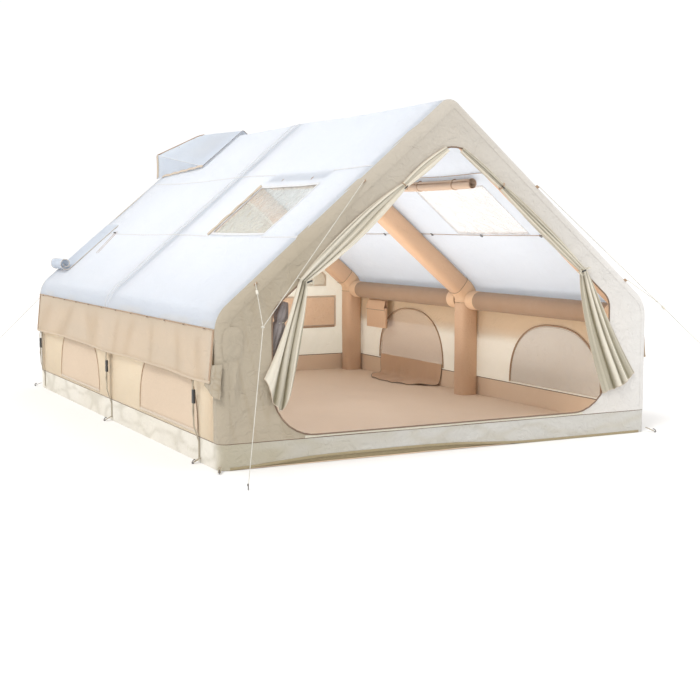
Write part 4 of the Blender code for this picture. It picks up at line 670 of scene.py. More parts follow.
def makeValance(side, name):
    # The hanging strip with its hem, top seam, bound ends and toggles.
    ys = marks(-roof["end"], roof["end"], 0.022, roof["buckles"].values())
    drops, y = np.meshgrid(np.linspace(0, 1, 17), ys, indexing="ij")
    grid = valanceGrid(side, drops, y, skin + 0.0002)
    # Painted shade in soft vertical creases, none at the top seam
    dark = 0.55 * creases(y, drops * 0.12, 0.9, 95 + side) * unit(drops * 3)
    made = cloth(name, grid, stack(drops * 0.3, y), "valance", side * valance["thick"], shade=dark)
    declareSheet(made)
    hem = valanceGrid(side, np.full(ys.shape, 0.985), ys, skin + 0.0025)
    sweep(name + "Hem", hem, flatSection(*valance["hem"]), (side, 0, 0), "valance")
    top = valanceGrid(side, np.full(ys.shape, 0.01), ys, skin + 0.003)
    sweep(name + "Seam", top, roundSection(valance["seam"], 6), (side, 0, 0), "zip")
    for end, y in (("Front", -roof["end"] + 0.012), ("Back", roof["end"] - 0.012)):
        edge = valanceGrid(side, np.linspace(0.02, 0.99, 24), np.full(24, y), skin + 0.0024)
        sweep(name + "End" + end, edge, flatSection(*valance["bound"]), (side, 0, 0), "zip")
    for k, y in enumerate(np.linspace(-1.9, 1.9, valance["toggles"])):
        bar = valanceGrid(side, np.full(5, 0.012), y + np.linspace(-0.012, 0.012, 5), skin + 0.0070)
        sweep(f"{name}Toggle{k}", bar, roundSection(valance["toggle"], 8), (side, 0, 0), "piping",
              size=[0.6, 1, 1, 1, 0.6])


for side, word in sides:
    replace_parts(makeRoofSide(side, "roof" + word), "roof_" + word.lower())
    makeValance(side, "valance" + word)
print("roof made")

# Sewn seams on the slopes: raised flat ribs that run along the tent, and two across it
seams = {"across": (0.03, 0.11), "along": (0.50, 0.99), "width": 0.012, "thick": 0.0008}
for side, word in sides:
    for k, x in enumerate(seams["along"]):
        for low, high, part in ((-2.03, -1.5, "A"), (-0.6, 1.2, "B"), (1.2, 2.03, "C")):
            ys = marks(low, high, 0.03)
            path = skinPoint(slopeRunAt(x), ys, skin + 0.0004, side)
            sweep(f"slopeSeam{word}{k}{part}", path, flatSection(seams["width"], seams["thick"]),
                  slopeOut(side), "whiteHem")
    for k, y in enumerate(seams["across"]):
        runs = marks(0.02, roof["seam"], 0.03)
        path = skinPoint(runs, y, skin + 0.0004, side)
        sweep(f"crossSeam{word}{k}", path, flatSection(0.008, seams["thick"]), (0, 1, 0),
              "whiteHem")

# The same seams from inside: thin brown lines, with small hooks along the lower one
inner = {"seams": (0.505, 0.985), "hooks": (-1.62, -0.9, -0.2, 0.55, 1.3), "depth": -0.0022}
for side, word in sides:
    for k, x in enumerate(inner["seams"]):
        path = skinPoint(slopeRunAt(x), marks(-2.0, 2.0, 0.03), inner["depth"], side)
        outlineTube(f"innerSeam{word}{k}", path, 0.0021, "zip")
    for k, y in enumerate(inner["hooks"]):
        hook = skinPoint(slopeRunAt(inner["seams"][1]) + 0.012 * np.sin(np.linspace(0, 1.6 * pi, 12)),
                         y + 0.012 * np.cos(np.linspace(0, 1.6 * pi, 12)), -0.007, side)
        outlineTube(f"innerHook{word}{k}", hook, 0.0026, "black", up=(0, 0, 1))

# Side walls with their arched windows
window = {"half": 0.54, "low": 0.18, "rise": 0.43, "bulge": 2.4, "seam": 0.012,
          "places": {(-1, "Front"): -1.21, (-1, "Back"): 0.84, (1, "Front"): -1.08, (1, "Back"): 1.03},
          "netDepth": 0.0034, "coverDepth": 0.0062, "coverGrow": 0.010, "coverThick": 0.002,
          # tubes round the arch: depth inside the wall's face, growth, radius
          "binding": (-0.0005, 0.006, 0.0030), "zip": (0.0090, 0.018, 0.0062),
          "tape": (0.0082, 0.004, 0.0012)}


def windowHole(middle, grow=0.0):
    # Signed measure of the arched outline |y/half|^n + |z/rise|^n = 1, above a flat sill.
    def measure(y, z):
        low, half = window["low"] - grow, window["half"] + grow
        across = np.abs((y - middle) / half) ** window["bulge"]
        above = np.maximum((z - low) / (window["rise"] + 2 * grow), 0) ** window["bulge"]
        return np.maximum(((across + above) ** (1 / window["bulge"]) - 1) * 0.45, low - z)
    return measure


def windowArc(middle, grow):
    # Points of that outline from one end of the sill over the top to the other.
    turn = np.linspace(0, pi, 60)
    power = 2 / window["bulge"]
    half, rise = window["half"] + grow, window["rise"] + 2 * grow
    y = middle + half * signedPower(np.cos(turn), power)
    return y, window["low"] - grow + rise * np.abs(np.sin(turn)) ** power


def makeWall(side, word):
    # A side wall down from the eave, its windows cut out.
    ys = marks(-shape["wallHalf"], shape["wallHalf"], 0.02)
    runs = marks(eaveEnd - 0.06, wallEnd, 0.018, (eaveEnd,))
    run, y = np.meshgrid(runs, ys, indexing="ij")
    flatZ = eaveCentre - (run - eaveEnd)
    holes = [windowHole(m) for (s, _), m in window["places"].items() if s == side]
    keep = cutHoles(y, flatZ, holes)
    run = eaveEnd + eaveCentre - flatZ
    slack = 0.002 * ripple(y, run, 0.5, 17 + side) * unit((run - eaveEnd) / 0.1)
    x, z = bodySection(run, sagged(run, y) - np.abs(slack) * unit((wallEnd - run) / 0.1))
    grid = stack(side * x, y, z)
    # Painted light: the inner face painted pale below the valance's foot; above it the inner face keeps the
    # tan band, the valance's painted shade.
    paintedLightInside = 1 - unit((z - 0.45) / 0.12)
    made = cloth("wall" + word, grid, stack(y, run), "wall", side * shape["wallThick"], keep,
                 shade=(0.0, paintedLightInside))
    declareSheet(made)
    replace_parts(made, "wall_" + word.lower())


def windowSheet(name, side, middle, depth, grow, kind, wave=0.0, seed=1, thick=0.001, shade=None,
                body="tent"):
    # A sheet that fills the arched outline, at a depth inside the wall's face.
    u, v = np.meshgrid(np.linspace(-1, 1, 61), np.linspace(0, 1, 25), indexing="ij")
    half, rise = window["half"] + grow, window["rise"] + 2 * grow
    low = window["low"] - grow
    top = low + rise * np.maximum(1 - np.abs(u) ** window["bulge"], 0) ** (1 / window["bulge"])
    y, z = middle + half * u, low + (top - low) * v
    soft = unit((1 - np.abs(u)) * 6) * unit(v * 6) * unit((1 - v) * 6)
    x = halfWidth - depth + wave * soft * (ripple(y, z, 0.22, seed) - 0.6) * 0.5
    made = cloth(name, stack(side * x, y, z), stack(y, z), kind, -side * thick, shade=shade,
                 body=body)
    declareSheet(made)
    return made


def windowEdge(name, side, middle, depth, grow, radius, kind, body="tent"):
    # A tube round the window's arch.
    y, z = windowArc(middle, grow)
    outlineTube(name, stack(side * (halfWidth - depth), y, z), radius, kind, up=(1, 0, 0), body=body)


for side, word in sides:
    makeWall(side, word)
for (side, row), middle in window["places"].items():
    word = dict(sides)[side]
    net = windowSheet(f"windowNet{word}{row}", side, middle, window["netDepth"], window["seam"], "net")
    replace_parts(net, f"window_mesh_{word.lower()}_{row.lower()}")
    windowEdge(f"windowBinding{word}{row}", side, middle, *window["binding"], "zip")
    windowEdge(f"windowZip{word}{row}", side, middle, *window["zip"], "zip")
    sill = stack(side * (halfWidth + 0.0006), marks(middle - 0.55, middle + 0.55, 0.05),
                 window["low"] - 0.006)
    sweep(f"windowSill{word}{row}", sill, flatSection(0.018, 0.0012), (side, 0, 0), "hem")
    if (side, row) == (1, "Back"):  # this one hangs open
        continue
    body = f"cover_{word.lower()}_{row.lower()}"
    # Painted light: the cover's inner face painted pale
    cover = windowSheet(f"windowCover{word}{row}", side, middle, window["coverDepth"], window["coverGrow"],
                        "cover", 0.003, 40 + int(middle * 10), window["coverThick"],
                        (1.0, 0.0), body)
    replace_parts(cover, "window_" + body)
    windowEdge(f"coverTape{word}{row}", side, middle, *window["tape"], "hem", body)
print("walls and windows made")


def roundedLine(corners, closed=False, step=0.02):
    # A line through (x, z, radius) corners, each turned into an arc, with evenly close points.
    corners = np.asarray(corners, float)
    points = []
    for i, (x, z, radius) in enumerate(corners):
        here = np.array([x, z])
        if not closed and i in (0, len(corners) - 1):
            points.append(here[None])
            continue
        a, b = corners[i - 1][:2] - here, corners[(i + 1) % len(corners)][:2] - here
        a, b = a / np.linalg.norm(a), b / np.linalg.norm(b)
        half = np.arccos(np.clip(a @ b, -1, 1)) / 2
        centre = here + (a + b) / np.linalg.norm(a + b) * radius / sin(half)
        first, last = here + a * radius / tan(half) - centre, here + b * radius / tan(half) - centre
        share = np.linspace(0, 1, 10)[:, None]
        spokes = first * (1 - share) + last * share
        points.append(centre + spokes / np.linalg.norm(spokes, axis=1, keepdims=True) * radius)
    points = np.concatenate(points)
    if closed:
        points = np.concatenate([points, points[:1]])
    lengths = np.linalg.norm(np.diff(points, axis=0), axis=1)
    parts = [a + (b - a) * np.linspace(0, 1, max(int(d / step), 1) + 1)[:-1, None]
             for a, b, d in zip(points, points[1:], lengths)]
    return np.concatenate([*parts, points[-1:]]) if not closed else np.concatenate(parts)


# Gable ends: a flat panel and a quarter round over the arch, sewn to the roof
gable = {"half": 1.18, "band": 0.185, "low": 0.1653, "seam": 0.80, "round": shape["edgeRound"],
         "window": (1.28, 0.42, 0.69), "edgeThick": 0.0028, "netThick": 0.0008, "binding": (0.011, 0.0016),
         "zip": (0.020, 0.0030)}
doorPeak = shape["ridgePeak"] - gable["band"] / cos(slopeAngle)
doorKnee = doorPeak - slope * gable["half"]
door = roundedLine([(-gable["half"], gable["low"], 0.27), (gable["half"], gable["low"], 0.27),
                    (gable["half"], doorKnee, 0.12), (0, doorPeak, 0.2), (-gable["half"], doorKnee, 0.12)],
                   closed=True)
bodyRuns = marks(-wallEnd, wallEnd, 0.018, (-eaveStart, -eaveEnd, 0, eaveStart, eaveEnd))
valve = {"x": -1.417, "z": 0.74, "radius": 0.030}


def outline(lift):
    # The whole outline, left and right, at a lift from the skin.
    x, z = bodySection(np.abs(bodyRuns), lift)
    return np.sign(bodyRuns) * x * (np.abs(bodyRuns) > 1e-9), z


def notAtValve(grid):
    # Faces farther than its radius from the valve.
    centre = (grid[1:, 1:] + grid[:-1, :-1] + grid[1:, :-1] + grid[:-1, 1:]) / 4
    return np.hypot(centre[..., 0] - valve["x"], centre[..., 2] - valve["z"]) > valve["radius"]


def makeGableEdge(name, facing):
    # Quarter round from the flat panel to the roof: lift = -R(1 - sin t), depth = R(1 - cos t).
    turns = np.linspace(0, pi / 2, 9)
    radius = gable["round"]
    lifts = np.concatenate([-radius * (1 - np.sin(turns)), [0]])
    depths = np.concatenate([radius * (1 - np.cos(turns)), [radius + 0.03]])
    run, lift = np.meshgrid(bodyRuns, lifts, indexing="ij")
    x, z = bodySection(np.abs(run), lift)
    pucker = 0.0012 * creases(run, lift, 0.3, 61) * np.sin(unit(-lift / radius) * pi)
    y = facing * (halfLength - depths[None] - pucker)
    grid = stack(np.sign(run) * x * (np.abs(run) > 1e-9), y, z)
    keep = notAtValve(grid) if facing < 0 else None
    width = 0.012 * np.arange(1, len(lifts) + 1)
    cloth(name, grid, stack(run, width[None]), "sleeve", facing * gable["edgeThick"], keep)


def makeFrontPanel():
    # Flat ring between the door and the rounded edge, matched along rays from the door's middle.
    x, z = outline(-gable["round"])
    bottom = np.linspace(x[-1], x[0], 100)[1:-1]
    rim = np.concatenate([stack(x, z), stack(bottom, wallFoot)])
    centre = np.array([0, 0.9])
    angles = np.arctan2(*(door - centre).T[::-1])
    order = np.argsort(angles)
    radii = np.linalg.norm(door - centre, axis=1)
    want = np.arctan2(*(rim - centre).T[::-1])
    reach = np.interp(want, angles[order], radii[order], period=2 * pi)
    inner = centre + stack(np.cos(want), np.sin(want)) * reach[:, None]
    share = np.linspace(0, 1, 26)[:, None, None]
    flat = inner + (rim - inner) * share
    wave = ripple(flat[..., 0], flat[..., 1], 0.35, 71) * 0.003 * np.sin(share[..., 0] * pi)
    folds = np.zeros(wave.shape)
    for x0, lean in ((-1.44, 0.04), (-1.40, -0.02), (-1.36, -0.10)):
        below = unit((valve["z"] - 0.05 - flat[..., 1]) / 0.35)
        ridge = np.exp(-((flat[..., 0] - x0 - lean * below) / 0.012) ** 2)
        folds = folds + ridge * np.sin(pi * unit(below)) * (flat[..., 1] < valve["z"] - 0.05)
    grid = stack(flat[..., 0], -halfLength + 0.0015 + np.abs(wave) - 0.010 * folds, flat[..., 1])
    quads = np.concatenate([grid, grid[:, :1]], 1)
    # Painted shade: streaks of darker folds, strongest on the left and lower down
    paintedShadeStreaks = creases(flat[..., 0] * 2.4 + flat[..., 1] * 0.5, flat[..., 1] * 0.3, 0.42, 73)
    dark = 0.28 * paintedShadeStreaks * unit((0.9 - flat[..., 0]) / 2.2)
    dark = dark * np.clip((1.25 - flat[..., 1]) / 0.5, 0.25, 1)
    made = cloth("frontPanel", grid, flat, "sleeve", shape["wallThick"], notAtValve(quads),
                 (False, True), dark)
    declareSheet(made)
    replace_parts(made, "front_sleeve")


makeFrontPanel()
makeGableEdge("frontEdge", -1)
makeGableEdge("backEdge", 1)
doorPath = stack(door[:, 0], -halfLength - 0.0005, door[:, 1])
sillLine = np.linspace(-0.98, 0.98, 60)
sillPath = stack(sillLine, -halfLength - 0.0012, 0.158 + 0.0015 * np.sin(sillLine * 7))
sweep("sillTape", sillPath, flatSection(0.014, 0.0014), (0, -1, 0), "webbing")
outlineTube("doorPiping", doorPath, 0.005, "piping", True)


def gableHole(x, z):
    # Distance outside the see-through gable; below 0 inside.
    side = np.abs(x) - gable["half"]
    roofLine = (z - doorPeak + slope * np.abs(x)) * cos(slopeAngle)
    return np.maximum(np.maximum(side, gable["seam"] - z), roofLine)


def backWindowHole(x, z):
    # Distance outside the low panel; below 0 inside.
    half, low, high = gable["window"]
    return np.maximum(np.maximum(np.abs(x) - half, low - z), z - high)


def makeBackWall():
    # Flat wall up to the rounded edge, with the gable and the low panel cut out.
    rimX, rimZ = outline(-gable["round"])
    right = (bodyRuns >= 0) & (bodyRuns <= eaveEnd)
    corners = (-gable["window"][0], -gable["half"], 0, gable["half"], gable["window"][0])
    xs = marks(rimX[0], rimX[-1], 0.021, corners)
    top = np.interp(np.abs(xs), rimX[right], rimZ[right])
    share = np.linspace(0, 1, 96)
    x, v = np.meshgrid(xs, share, indexing="ij")
    z = wallFoot + (top[:, None] - wallFoot) * v
    keep = cutHoles(x, z, (gableHole, backWindowHole))
    wave = 0.0018 * np.abs(ripple(x, z, 0.4, 77))
    grid = stack(x, halfLength - 0.001 - wave, z)
    # Painted light and shadow: soft diagonal stripes, a little paler, on both faces
    light = creases(x * 1.6 - z * 1.1, z * 0.1, 0.34, 79)
    made = cloth("backWall", grid, stack(x, z), "backWall", shape["wallThick"], keep,
                 shade=light)
    declareSheet(made)
    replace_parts(made, "wall_back")


def filledSheet(name, half, low, top, kind, seed, node):
    # Net between a level foot and a top line z(x), just inside the back wall.
    x, v = np.meshgrid(np.linspace(-half, half, 90), np.linspace(0, 1, 40), indexing="ij")
    z = low + (top(x) - low) * v
    grid = stack(x, halfLength - 0.0038 - 0.001 * np.abs(ripple(x, z, 0.3, seed)), z)
    made = cloth(name, grid, stack(x, z), kind, gable["netThick"])
    declareSheet(made)
    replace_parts(made, node)


makeBackWall()
filledSheet("gableNet", gable["half"] + 0.01, gable["seam"] - 0.01,
            lambda x: doorPeak + 0.014 - slope * np.abs(x), "gableNet", 81, "gable_mesh")
filledSheet("backPanel", 1.29, 0.41, lambda x: 0.70 + 0 * x, "backPanel", 83, "back_window_panel")
half, foot = gable["half"], gable["seam"]
gablePath = roundedLine([(-half, foot, 0.012), (half, foot, 0.012), (half, doorKnee, 0.05),
                         (0, doorPeak, 0.05), (-half, doorKnee, 0.05)], closed=True)
half, foot, top = gable["window"]
windowPath = roundedLine([(-half, foot, 0.02), (half, foot, 0.02), (half, top, 0.02), (-half, top, 0.02)],
                         closed=True)
for name, path in (("gableBinding", gablePath), ("backWindowBinding", windowPath)):
    for facing, off, out in (("In", -0.005, -1), ("Out", 0.0002, 1)):
        line = stack(path[:, 0], halfLength + off, path[:, 1])
        sweep(name + facing, line, flatSection(*gable["binding"]), (0, out, 0), "hem", wrap=True)
bar = np.linspace(-1.275, 1.275, 80)
foot = stack(bar, halfLength - 0.0052, 0.412 + 0.002 * np.sin(bar * 5))
sweep("backWindowZip", foot, flatSection(*gable["zip"]), (0, -1, 0), "zip")
print("gable ends made")

# Floor and its upturned edge: an outer and an inner layer, with a lifted front hem
tub = {"x": 1.4992, "y": 2.0992, "round": 0.056, "rim": 0.148, "lift": 0.034, "piping": 0.0032,
       "hem": (0.016, 0.0016), "fold": (0.030, 0.0016)}


def tubRing(inset):
    # The floor's rounded rectangle.
    x, y, r = tub["x"] - inset, tub["y"] - inset, tub["round"] - inset
    return roundedLine([(-x, -y, r), (x, -y, r), (x, y, r), (-x, y, r)], closed=True, step=0.03)


def hemLift(x):
    # How far the front hem rises off the ground.
    return tub["lift"] * np.exp(-((x + 0.45) / 0.75) ** 4)


def tubLayer(name, inset, low, high, kind, thick):
    # One layer of the upturned edge, from low to high round the ring.
    ring = tubRing(inset)
    front = unit((-ring[:, 1] - 2.0) / 0.09)
    raised = front * hemLift(ring[:, 0])
    share = np.linspace(0, 1, 9)
    point = np.repeat(ring[:, None, :], len(share), axis=1)
    base = low + raised[:, None]
    z = base + (high - base) * share[None]
    centre = point / np.linalg.norm(point, axis=2, keepdims=True)
    wave = 0.0022 * np.abs(ripple(point[..., 0] + point[..., 1], z, 0.4, 23)) * np.sin(share * pi)[None]
    point = point - centre * wave[..., None]
    grid = np.concatenate([point, z[..., None]], -1)
    along = lengthsAlong(ring)
    # Painted shade in the creases, and darker towards the left front corner
    centredPatch = np.exp(-((point[..., 0] + 1.5) / 0.5) ** 2) * front[:, None]
    dark = unit(0.4 * creases(along[:, None], z * 2.5, 0.55, 27) + centredPatch)
    cloth(name, grid, stack(along[:, None], z), kind, thick, wrap=(True, False), shade=dark)


floor = {"x": 1.494, "y": 2.094, "bend": 0.05, "legX": 1.417, "calm": 0.12, "thick": 0.0035}


def makeFloor():
    # Rounded in plan at the corners, flat round the arches' feet and slightly uneven elsewhere.
    bend = floor["bend"]
    share, y = np.meshgrid(np.linspace(-1, 1, 130), np.linspace(-floor["y"], floor["y"], 180), indexing="ij")
    deep = np.clip(np.abs(y) - (floor["y"] - bend), 0, bend)
    x = share * (floor["x"] - (bend - np.sqrt(bend ** 2 - deep ** 2)))
    legs = [np.hypot(np.abs(x) - floor["legX"], y - place) for place in arches.values()]
    calm = unit((np.min(legs, axis=0) - floor["calm"]) / 0.2)
    z = 0.0041 + 0.0016 * calm * (1 + ripple(x, y, 0.45, 12)) + 0.002 * calm * creases(x, y, 0.9, 14)
    grid = stack(x, y, np.clip(z, 0.004, 0.02))
    made = cloth("floorSheet", grid, stack(x, y), "floor", floor["thick"])
    declareSheet(made)
    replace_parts(made, "floor_tub")


def makeHemTapes():
    # Tapes on the front hem's lower edge, which lifts off the ground in the middle.
    x = np.linspace(-1.44, 1.44, 120)
    z = 0.008 + hemLift(x)
    path = stack(x, -tub["y"] - 0.0006, z)
    sweep("tubFrontHem", path, flatSection(*tub["hem"]), (0, -1, 0), "underside")
    skirt = stack(x, -tub["y"] + 0.012, z * 0.5)
    sweep("tubFrontFold", skirt, flatSection(*tub["fold"]), (0, -1, 0), "underside",
          size=np.clip(z / 0.042, 0.15, 1))


makeHemTapes()
makeFloor()
tubLayer("tubOuter", 0.0002, 0.0, tub["rim"], "tub", 0.0013)
tubLayer("tubInner", 0.0020, 0.004, tub["rim"] - 0.002, "floor", 0.0012)
ring = tubRing(0.0015)
outlineTube("tubPiping", stack(ring[:, 0], ring[:, 1], tub["rim"] + 0.001), tub["piping"], "piping", True,
            (0, 0, 1))
print("floor and tub made")

# Air arches with mitred, darker-seamed knees, and the purlins between them
beam = {"half": 0.0790, "middle": 0.0833, "gore": 0.0012, "goreReach": 0.085, "seam": 0.0016,
        "purlinX": 1.421, "purlinZ": 0.765, "purlinRadius": 0.0735}


def squircle(half, count=36, power=3.4):
    # Rounded square |x|^n + |y|^n = 1.
    turn = fullTurn(count)
    c, s = np.cos(turn), np.sin(turn)
    return half * stack(signedPower(c, 2 / power), signedPower(s, 2 / power))


archX = halfWidth - beam["middle"]
archTop = shape["ridgePeak"] - beam["middle"] / cos(slopeAngle)
archKnee = archTop - slope * archX
archLine = roundedLine([(-archX, 0.0046, 0), (-archX, archKnee, 0.13), (0, archTop, 0.07),
                        (archX, archKnee, 0.13), (archX, 0.0046, 0)], step=0.016)
archRun = lengthsAlong(archLine)
archLength = archRun[-1]
kneeRun = float(np.interp(archKnee, archLine[:len(archLine) // 2, 1], archRun[:len(archLine) // 2]))


def archSwell(seed):
    # Soft unevenness, and pleats that gather on the inner side of each bend.
    turn = fullTurn(36)
    run = archRun[:, None]
    total = 0.012 * ripple(run, turn[None] * 0.08, 0.3, seed)
    for place, wide in ((kneeRun, 0.11), (archLength / 2, 0.09), (archLength - kneeRun, 0.11)):
        near = np.exp(-((run - place) / wide) ** 2)
        inner = np.clip(0.35 - np.cos(turn[None]), 0, 1.35) / 1.35
        total = total - near * inner * (0.02 + 0.028 * (0.5 + 0.5 * np.sin(run * 2 * pi / 0.038 + seed)))
    return np.minimum(total, 0.010)


for word, y in arches.items():
    path = stack(archLine[:, 0], y, archLine[:, 1])
    swell = archSwell(7 + int(y))
    made = sweep("arch" + word, path, squircle(beam["half"]), (0, 1, 0), "beam",
                 swell=swell)
    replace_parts(made, "arch_" + word.lower())
    for side, where in sides:
        centre = kneeRun if side < 0 else archLength - kneeRun
        chosen = np.abs(archRun - centre) < beam["goreReach"]
        gore = path[chosen]
        sweep("archKnee" + word + where, gore, squircle(beam["half"] + beam["gore"]), (0, 1, 0), "joint",
              swell=swell[chosen])
        loop = squircle(beam["half"] + 0.0014, 48)
        for end, at, ahead in (("A", gore[0], gore[1] - gore[0]), ("B", gore[-1], gore[-1] - gore[-2])):
            ahead = ahead / np.linalg.norm(ahead)
            rim = at + loop[:, :1] * np.cross(ahead, (0, 1, 0)) + loop[:, 1:] * np.array([0, 1, 0])
            outlineTube(f"archKnee{word}{where}Seam{end}", rim, beam["seam"], "piping", True, ahead)

cuff = {"length": 0.110, "radius": 0.0752, "shape": [0.96, 0.99, 1, 1, 1, 1, 0.99, 0.96]}
turn = fullTurn(32)
for side, word in sides:
    for row in ("Front", "Back"):
        node = f"purlin_{row.lower()}_{word.lower()}"
        low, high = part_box(node)
        ys = marks(low.y + 0.002, high.y - 0.002, 0.02)
        ends = np.minimum(ys - low.y, high.y - ys)[:, None]
        swell = 0.008 * ripple(ys[:, None], turn[None] * 0.07, 0.25, 51)
        swell = swell - 0.05 * np.exp(-((ends - 0.120) / 0.010) ** 2) - 0.12 * unit(1 - ends / 0.014) ** 2
        path = stack(side * beam["purlinX"], ys, beam["purlinZ"])
        made = sweep("purlin" + row + word, path, roundSection(beam["purlinRadius"], 32), (0, 0, 1), "purlin",
                     swell=np.minimum(swell, 0.02))
        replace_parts(made, node)
        for end, y0 in (("A", low.y + 0.004), ("B", high.y - 0.004 - cuff["length"])):
            path = stack(side * beam["purlinX"], np.linspace(y0, y0 + cuff["length"], 8), beam["purlinZ"])
            sweep(made.name + "Cuff" + end, path, roundSection(cuff["radius"], 32), (0, 0, 1), "joint",
                  size=cuff["shape"])
print("air frame made")

# Skylights: hazy film under each opening, and its cover rolled above it
skylight = {"film": 0.0006, "rollX": 0.545, "rollRadius": 0.036, "core": 0.010, "turns": 2.4,
            "cover": 0.0016, "ties": (-1.28, -0.82), "lap": 0.010, "tape": (0.022, 0.0012),
            "tie": (0.014, 0.0016)}


def makeSkylight(side, word):
    # Wrinkled film a little larger than its opening, and four tapes on its edges.
    x0, x1, front, back = roof["light"]
    runs = np.linspace(slopeRunAt(x0 - skylight["lap"]), slopeRunAt(x1 + skylight["lap"]), 40)
    ys = np.linspace(front - skylight["lap"], back + skylight["lap"], 70)
    run, y = np.meshgrid(runs, ys, indexing="ij")
    edge = unit(np.min([run - runs[0], runs[-1] - run, y - ys[0], ys[-1] - y], axis=0) / 0.05)
    streak = creases(run * 0.8 + y * 0.5, run * 0.15, 0.11, 220 + side)
    wrinkle = edge * (0.0035 * ripple(run, y, 0.16, 200 + side) - 0.007 + 0.005 * streak)
    made = cloth("skylightFilm" + word, skinPoint(run, y, wrinkle, side), stack(run, y),
                 "film" if side < 0 else "skyLitFilm", side * skylight["film"])
    declareSheet(made)
    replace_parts(made, "skylight_film_" + word.lower())
    low, high = lightRuns
    for part, run0, run1, y0, y1 in (("Top", low, low, front, back), ("Foot", high, high, front, back),
                                     ("Front", low, high, front, front), ("Rear", low, high, back, back)):
        path = skinPoint(np.linspace(run0, run1, 30), np.linspace(y0, y1, 30), skin + 0.0006, side)
        sweep(f"skylightTape{word}{part}", path, flatSection(*skylight["tape"]), slopeOut(side), "whiteHem")


def spiralSection(radius, core, turns):
    # Archimedean roll from the core outwards: r = core + (radius - core) * share.
    share = np.linspace(0, 1, 90)
    turn = turns * 2 * pi * share
    r = core + (radius - core) * share
    return stack(r * np.cos(turn), r * np.sin(turn))


def makeRoll(side, word):
    # The cover, rolled up above its film and pinched by two ties.
    x, z = bodySection(slopeRunAt(skylight["rollX"]), -0.0403)
    ys = marks(roof["light"][2] + 0.002, roof["light"][3] - 0.002, 0.012)
    spiral = spiralSection(skylight["rollRadius"], skylight["core"], skylight["turns"])[None]
    pinch = 1 - 0.16 * sum(np.exp(-((ys - t) / 0.012) ** 2) for t in skylight["ties"])
    pinch = pinch * (1 + 0.03 * ripple(ys, ys * 0, 0.2, 210 + side))
    around = spiral * pinch[:, None, None]
    sag = sagged(slopeRunAt(skylight["rollX"]), ys)[:, None]
    grid = stack(side * (x + around[..., 0] + sag * sin(slopeAngle)), ys[:, None],
                 z + around[..., 1] + sag * cos(slopeAngle))
    made = cloth("skylightRoll" + word, grid, stack(ys[:, None], np.linspace(0, 0.35, 90)[None]), "roll",
                 -side * skylight["cover"])
    declareSheet(made)
    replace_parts(made, "skylight_roll_" + word.lower())
    turn = fullTurn(24)
    r = skylight["rollRadius"] * 0.87
    for k, y in enumerate(skylight["ties"]):
        loop = stack(side * x + r * np.cos(turn), y, z - 0.004 + r * np.sin(turn))
        sweep(f"rollTie{word}{k}", loop, flatSection(*skylight["tie"]), (0, 1, 0), "zip", wrap=True)


for side, word in sides:
    makeSkylight(side, word)
    makeRoll(side, word)

# Ridge vent: net in the opening, and the raised hood over it
hood = {"front": 1.2, "back": 2.135, "frontHalf": 0.354, "backHalf": 0.436, "seat": 0.0045,
        "sideRise": 0.20, "topRise": 0.035, "fold": 0.72, "thick": 0.0025, "line": 0.0028, "rearHem": 0.0045,
        "feet": (0.020, 0.0030), "binding": (0.040, 0.0014), "frontHem": (0.009, 0.0018)}


def roofTop(x):
    # Height of the roof's outer face on the slope.
    return shape["ridgePeak"] - slope * np.abs(x) + (skin + shape["gap"]) / cos(slopeAngle)


def hoodPoint(u, v):
    # u runs across, with the sides beyond the fold; v runs from the sewn front to the open rear.
    wide = hood["frontHalf"] + (hood["backHalf"] - hood["frontHalf"]) * v
    low = roofTop(wide) + 0.0002
    sideTop = low + hood["seat"] + hood["sideRise"] * v
    peak = roofTop(0) + hood["seat"] + hood["topRise"] * v
    top = unit(1 - np.abs(u) / hood["fold"])
    side = unit((np.abs(u) - hood["fold"]) / (1 - hood["fold"]))
    centredPatch = 0.010 * np.exp(-(u / 0.06) ** 2) * v
    dip = 0.018 * np.sin(pi * unit(top)) * np.sin(pi * unit(v)) ** 0.8
    z = np.where(np.abs(u) < hood["fold"], sideTop + (peak - sideTop) * top - dip - centredPatch,
                 sideTop + (low - sideTop) * side)
    puff = 0.004 * np.sin(pi * side) * v
    x = np.sign(u) * (wide * unit(np.abs(u) / hood["fold"]) - puff - 0.001)
    y = hood["front"] + (hood["back"] - hood["front"]) * v
    return stack(x, y, z)


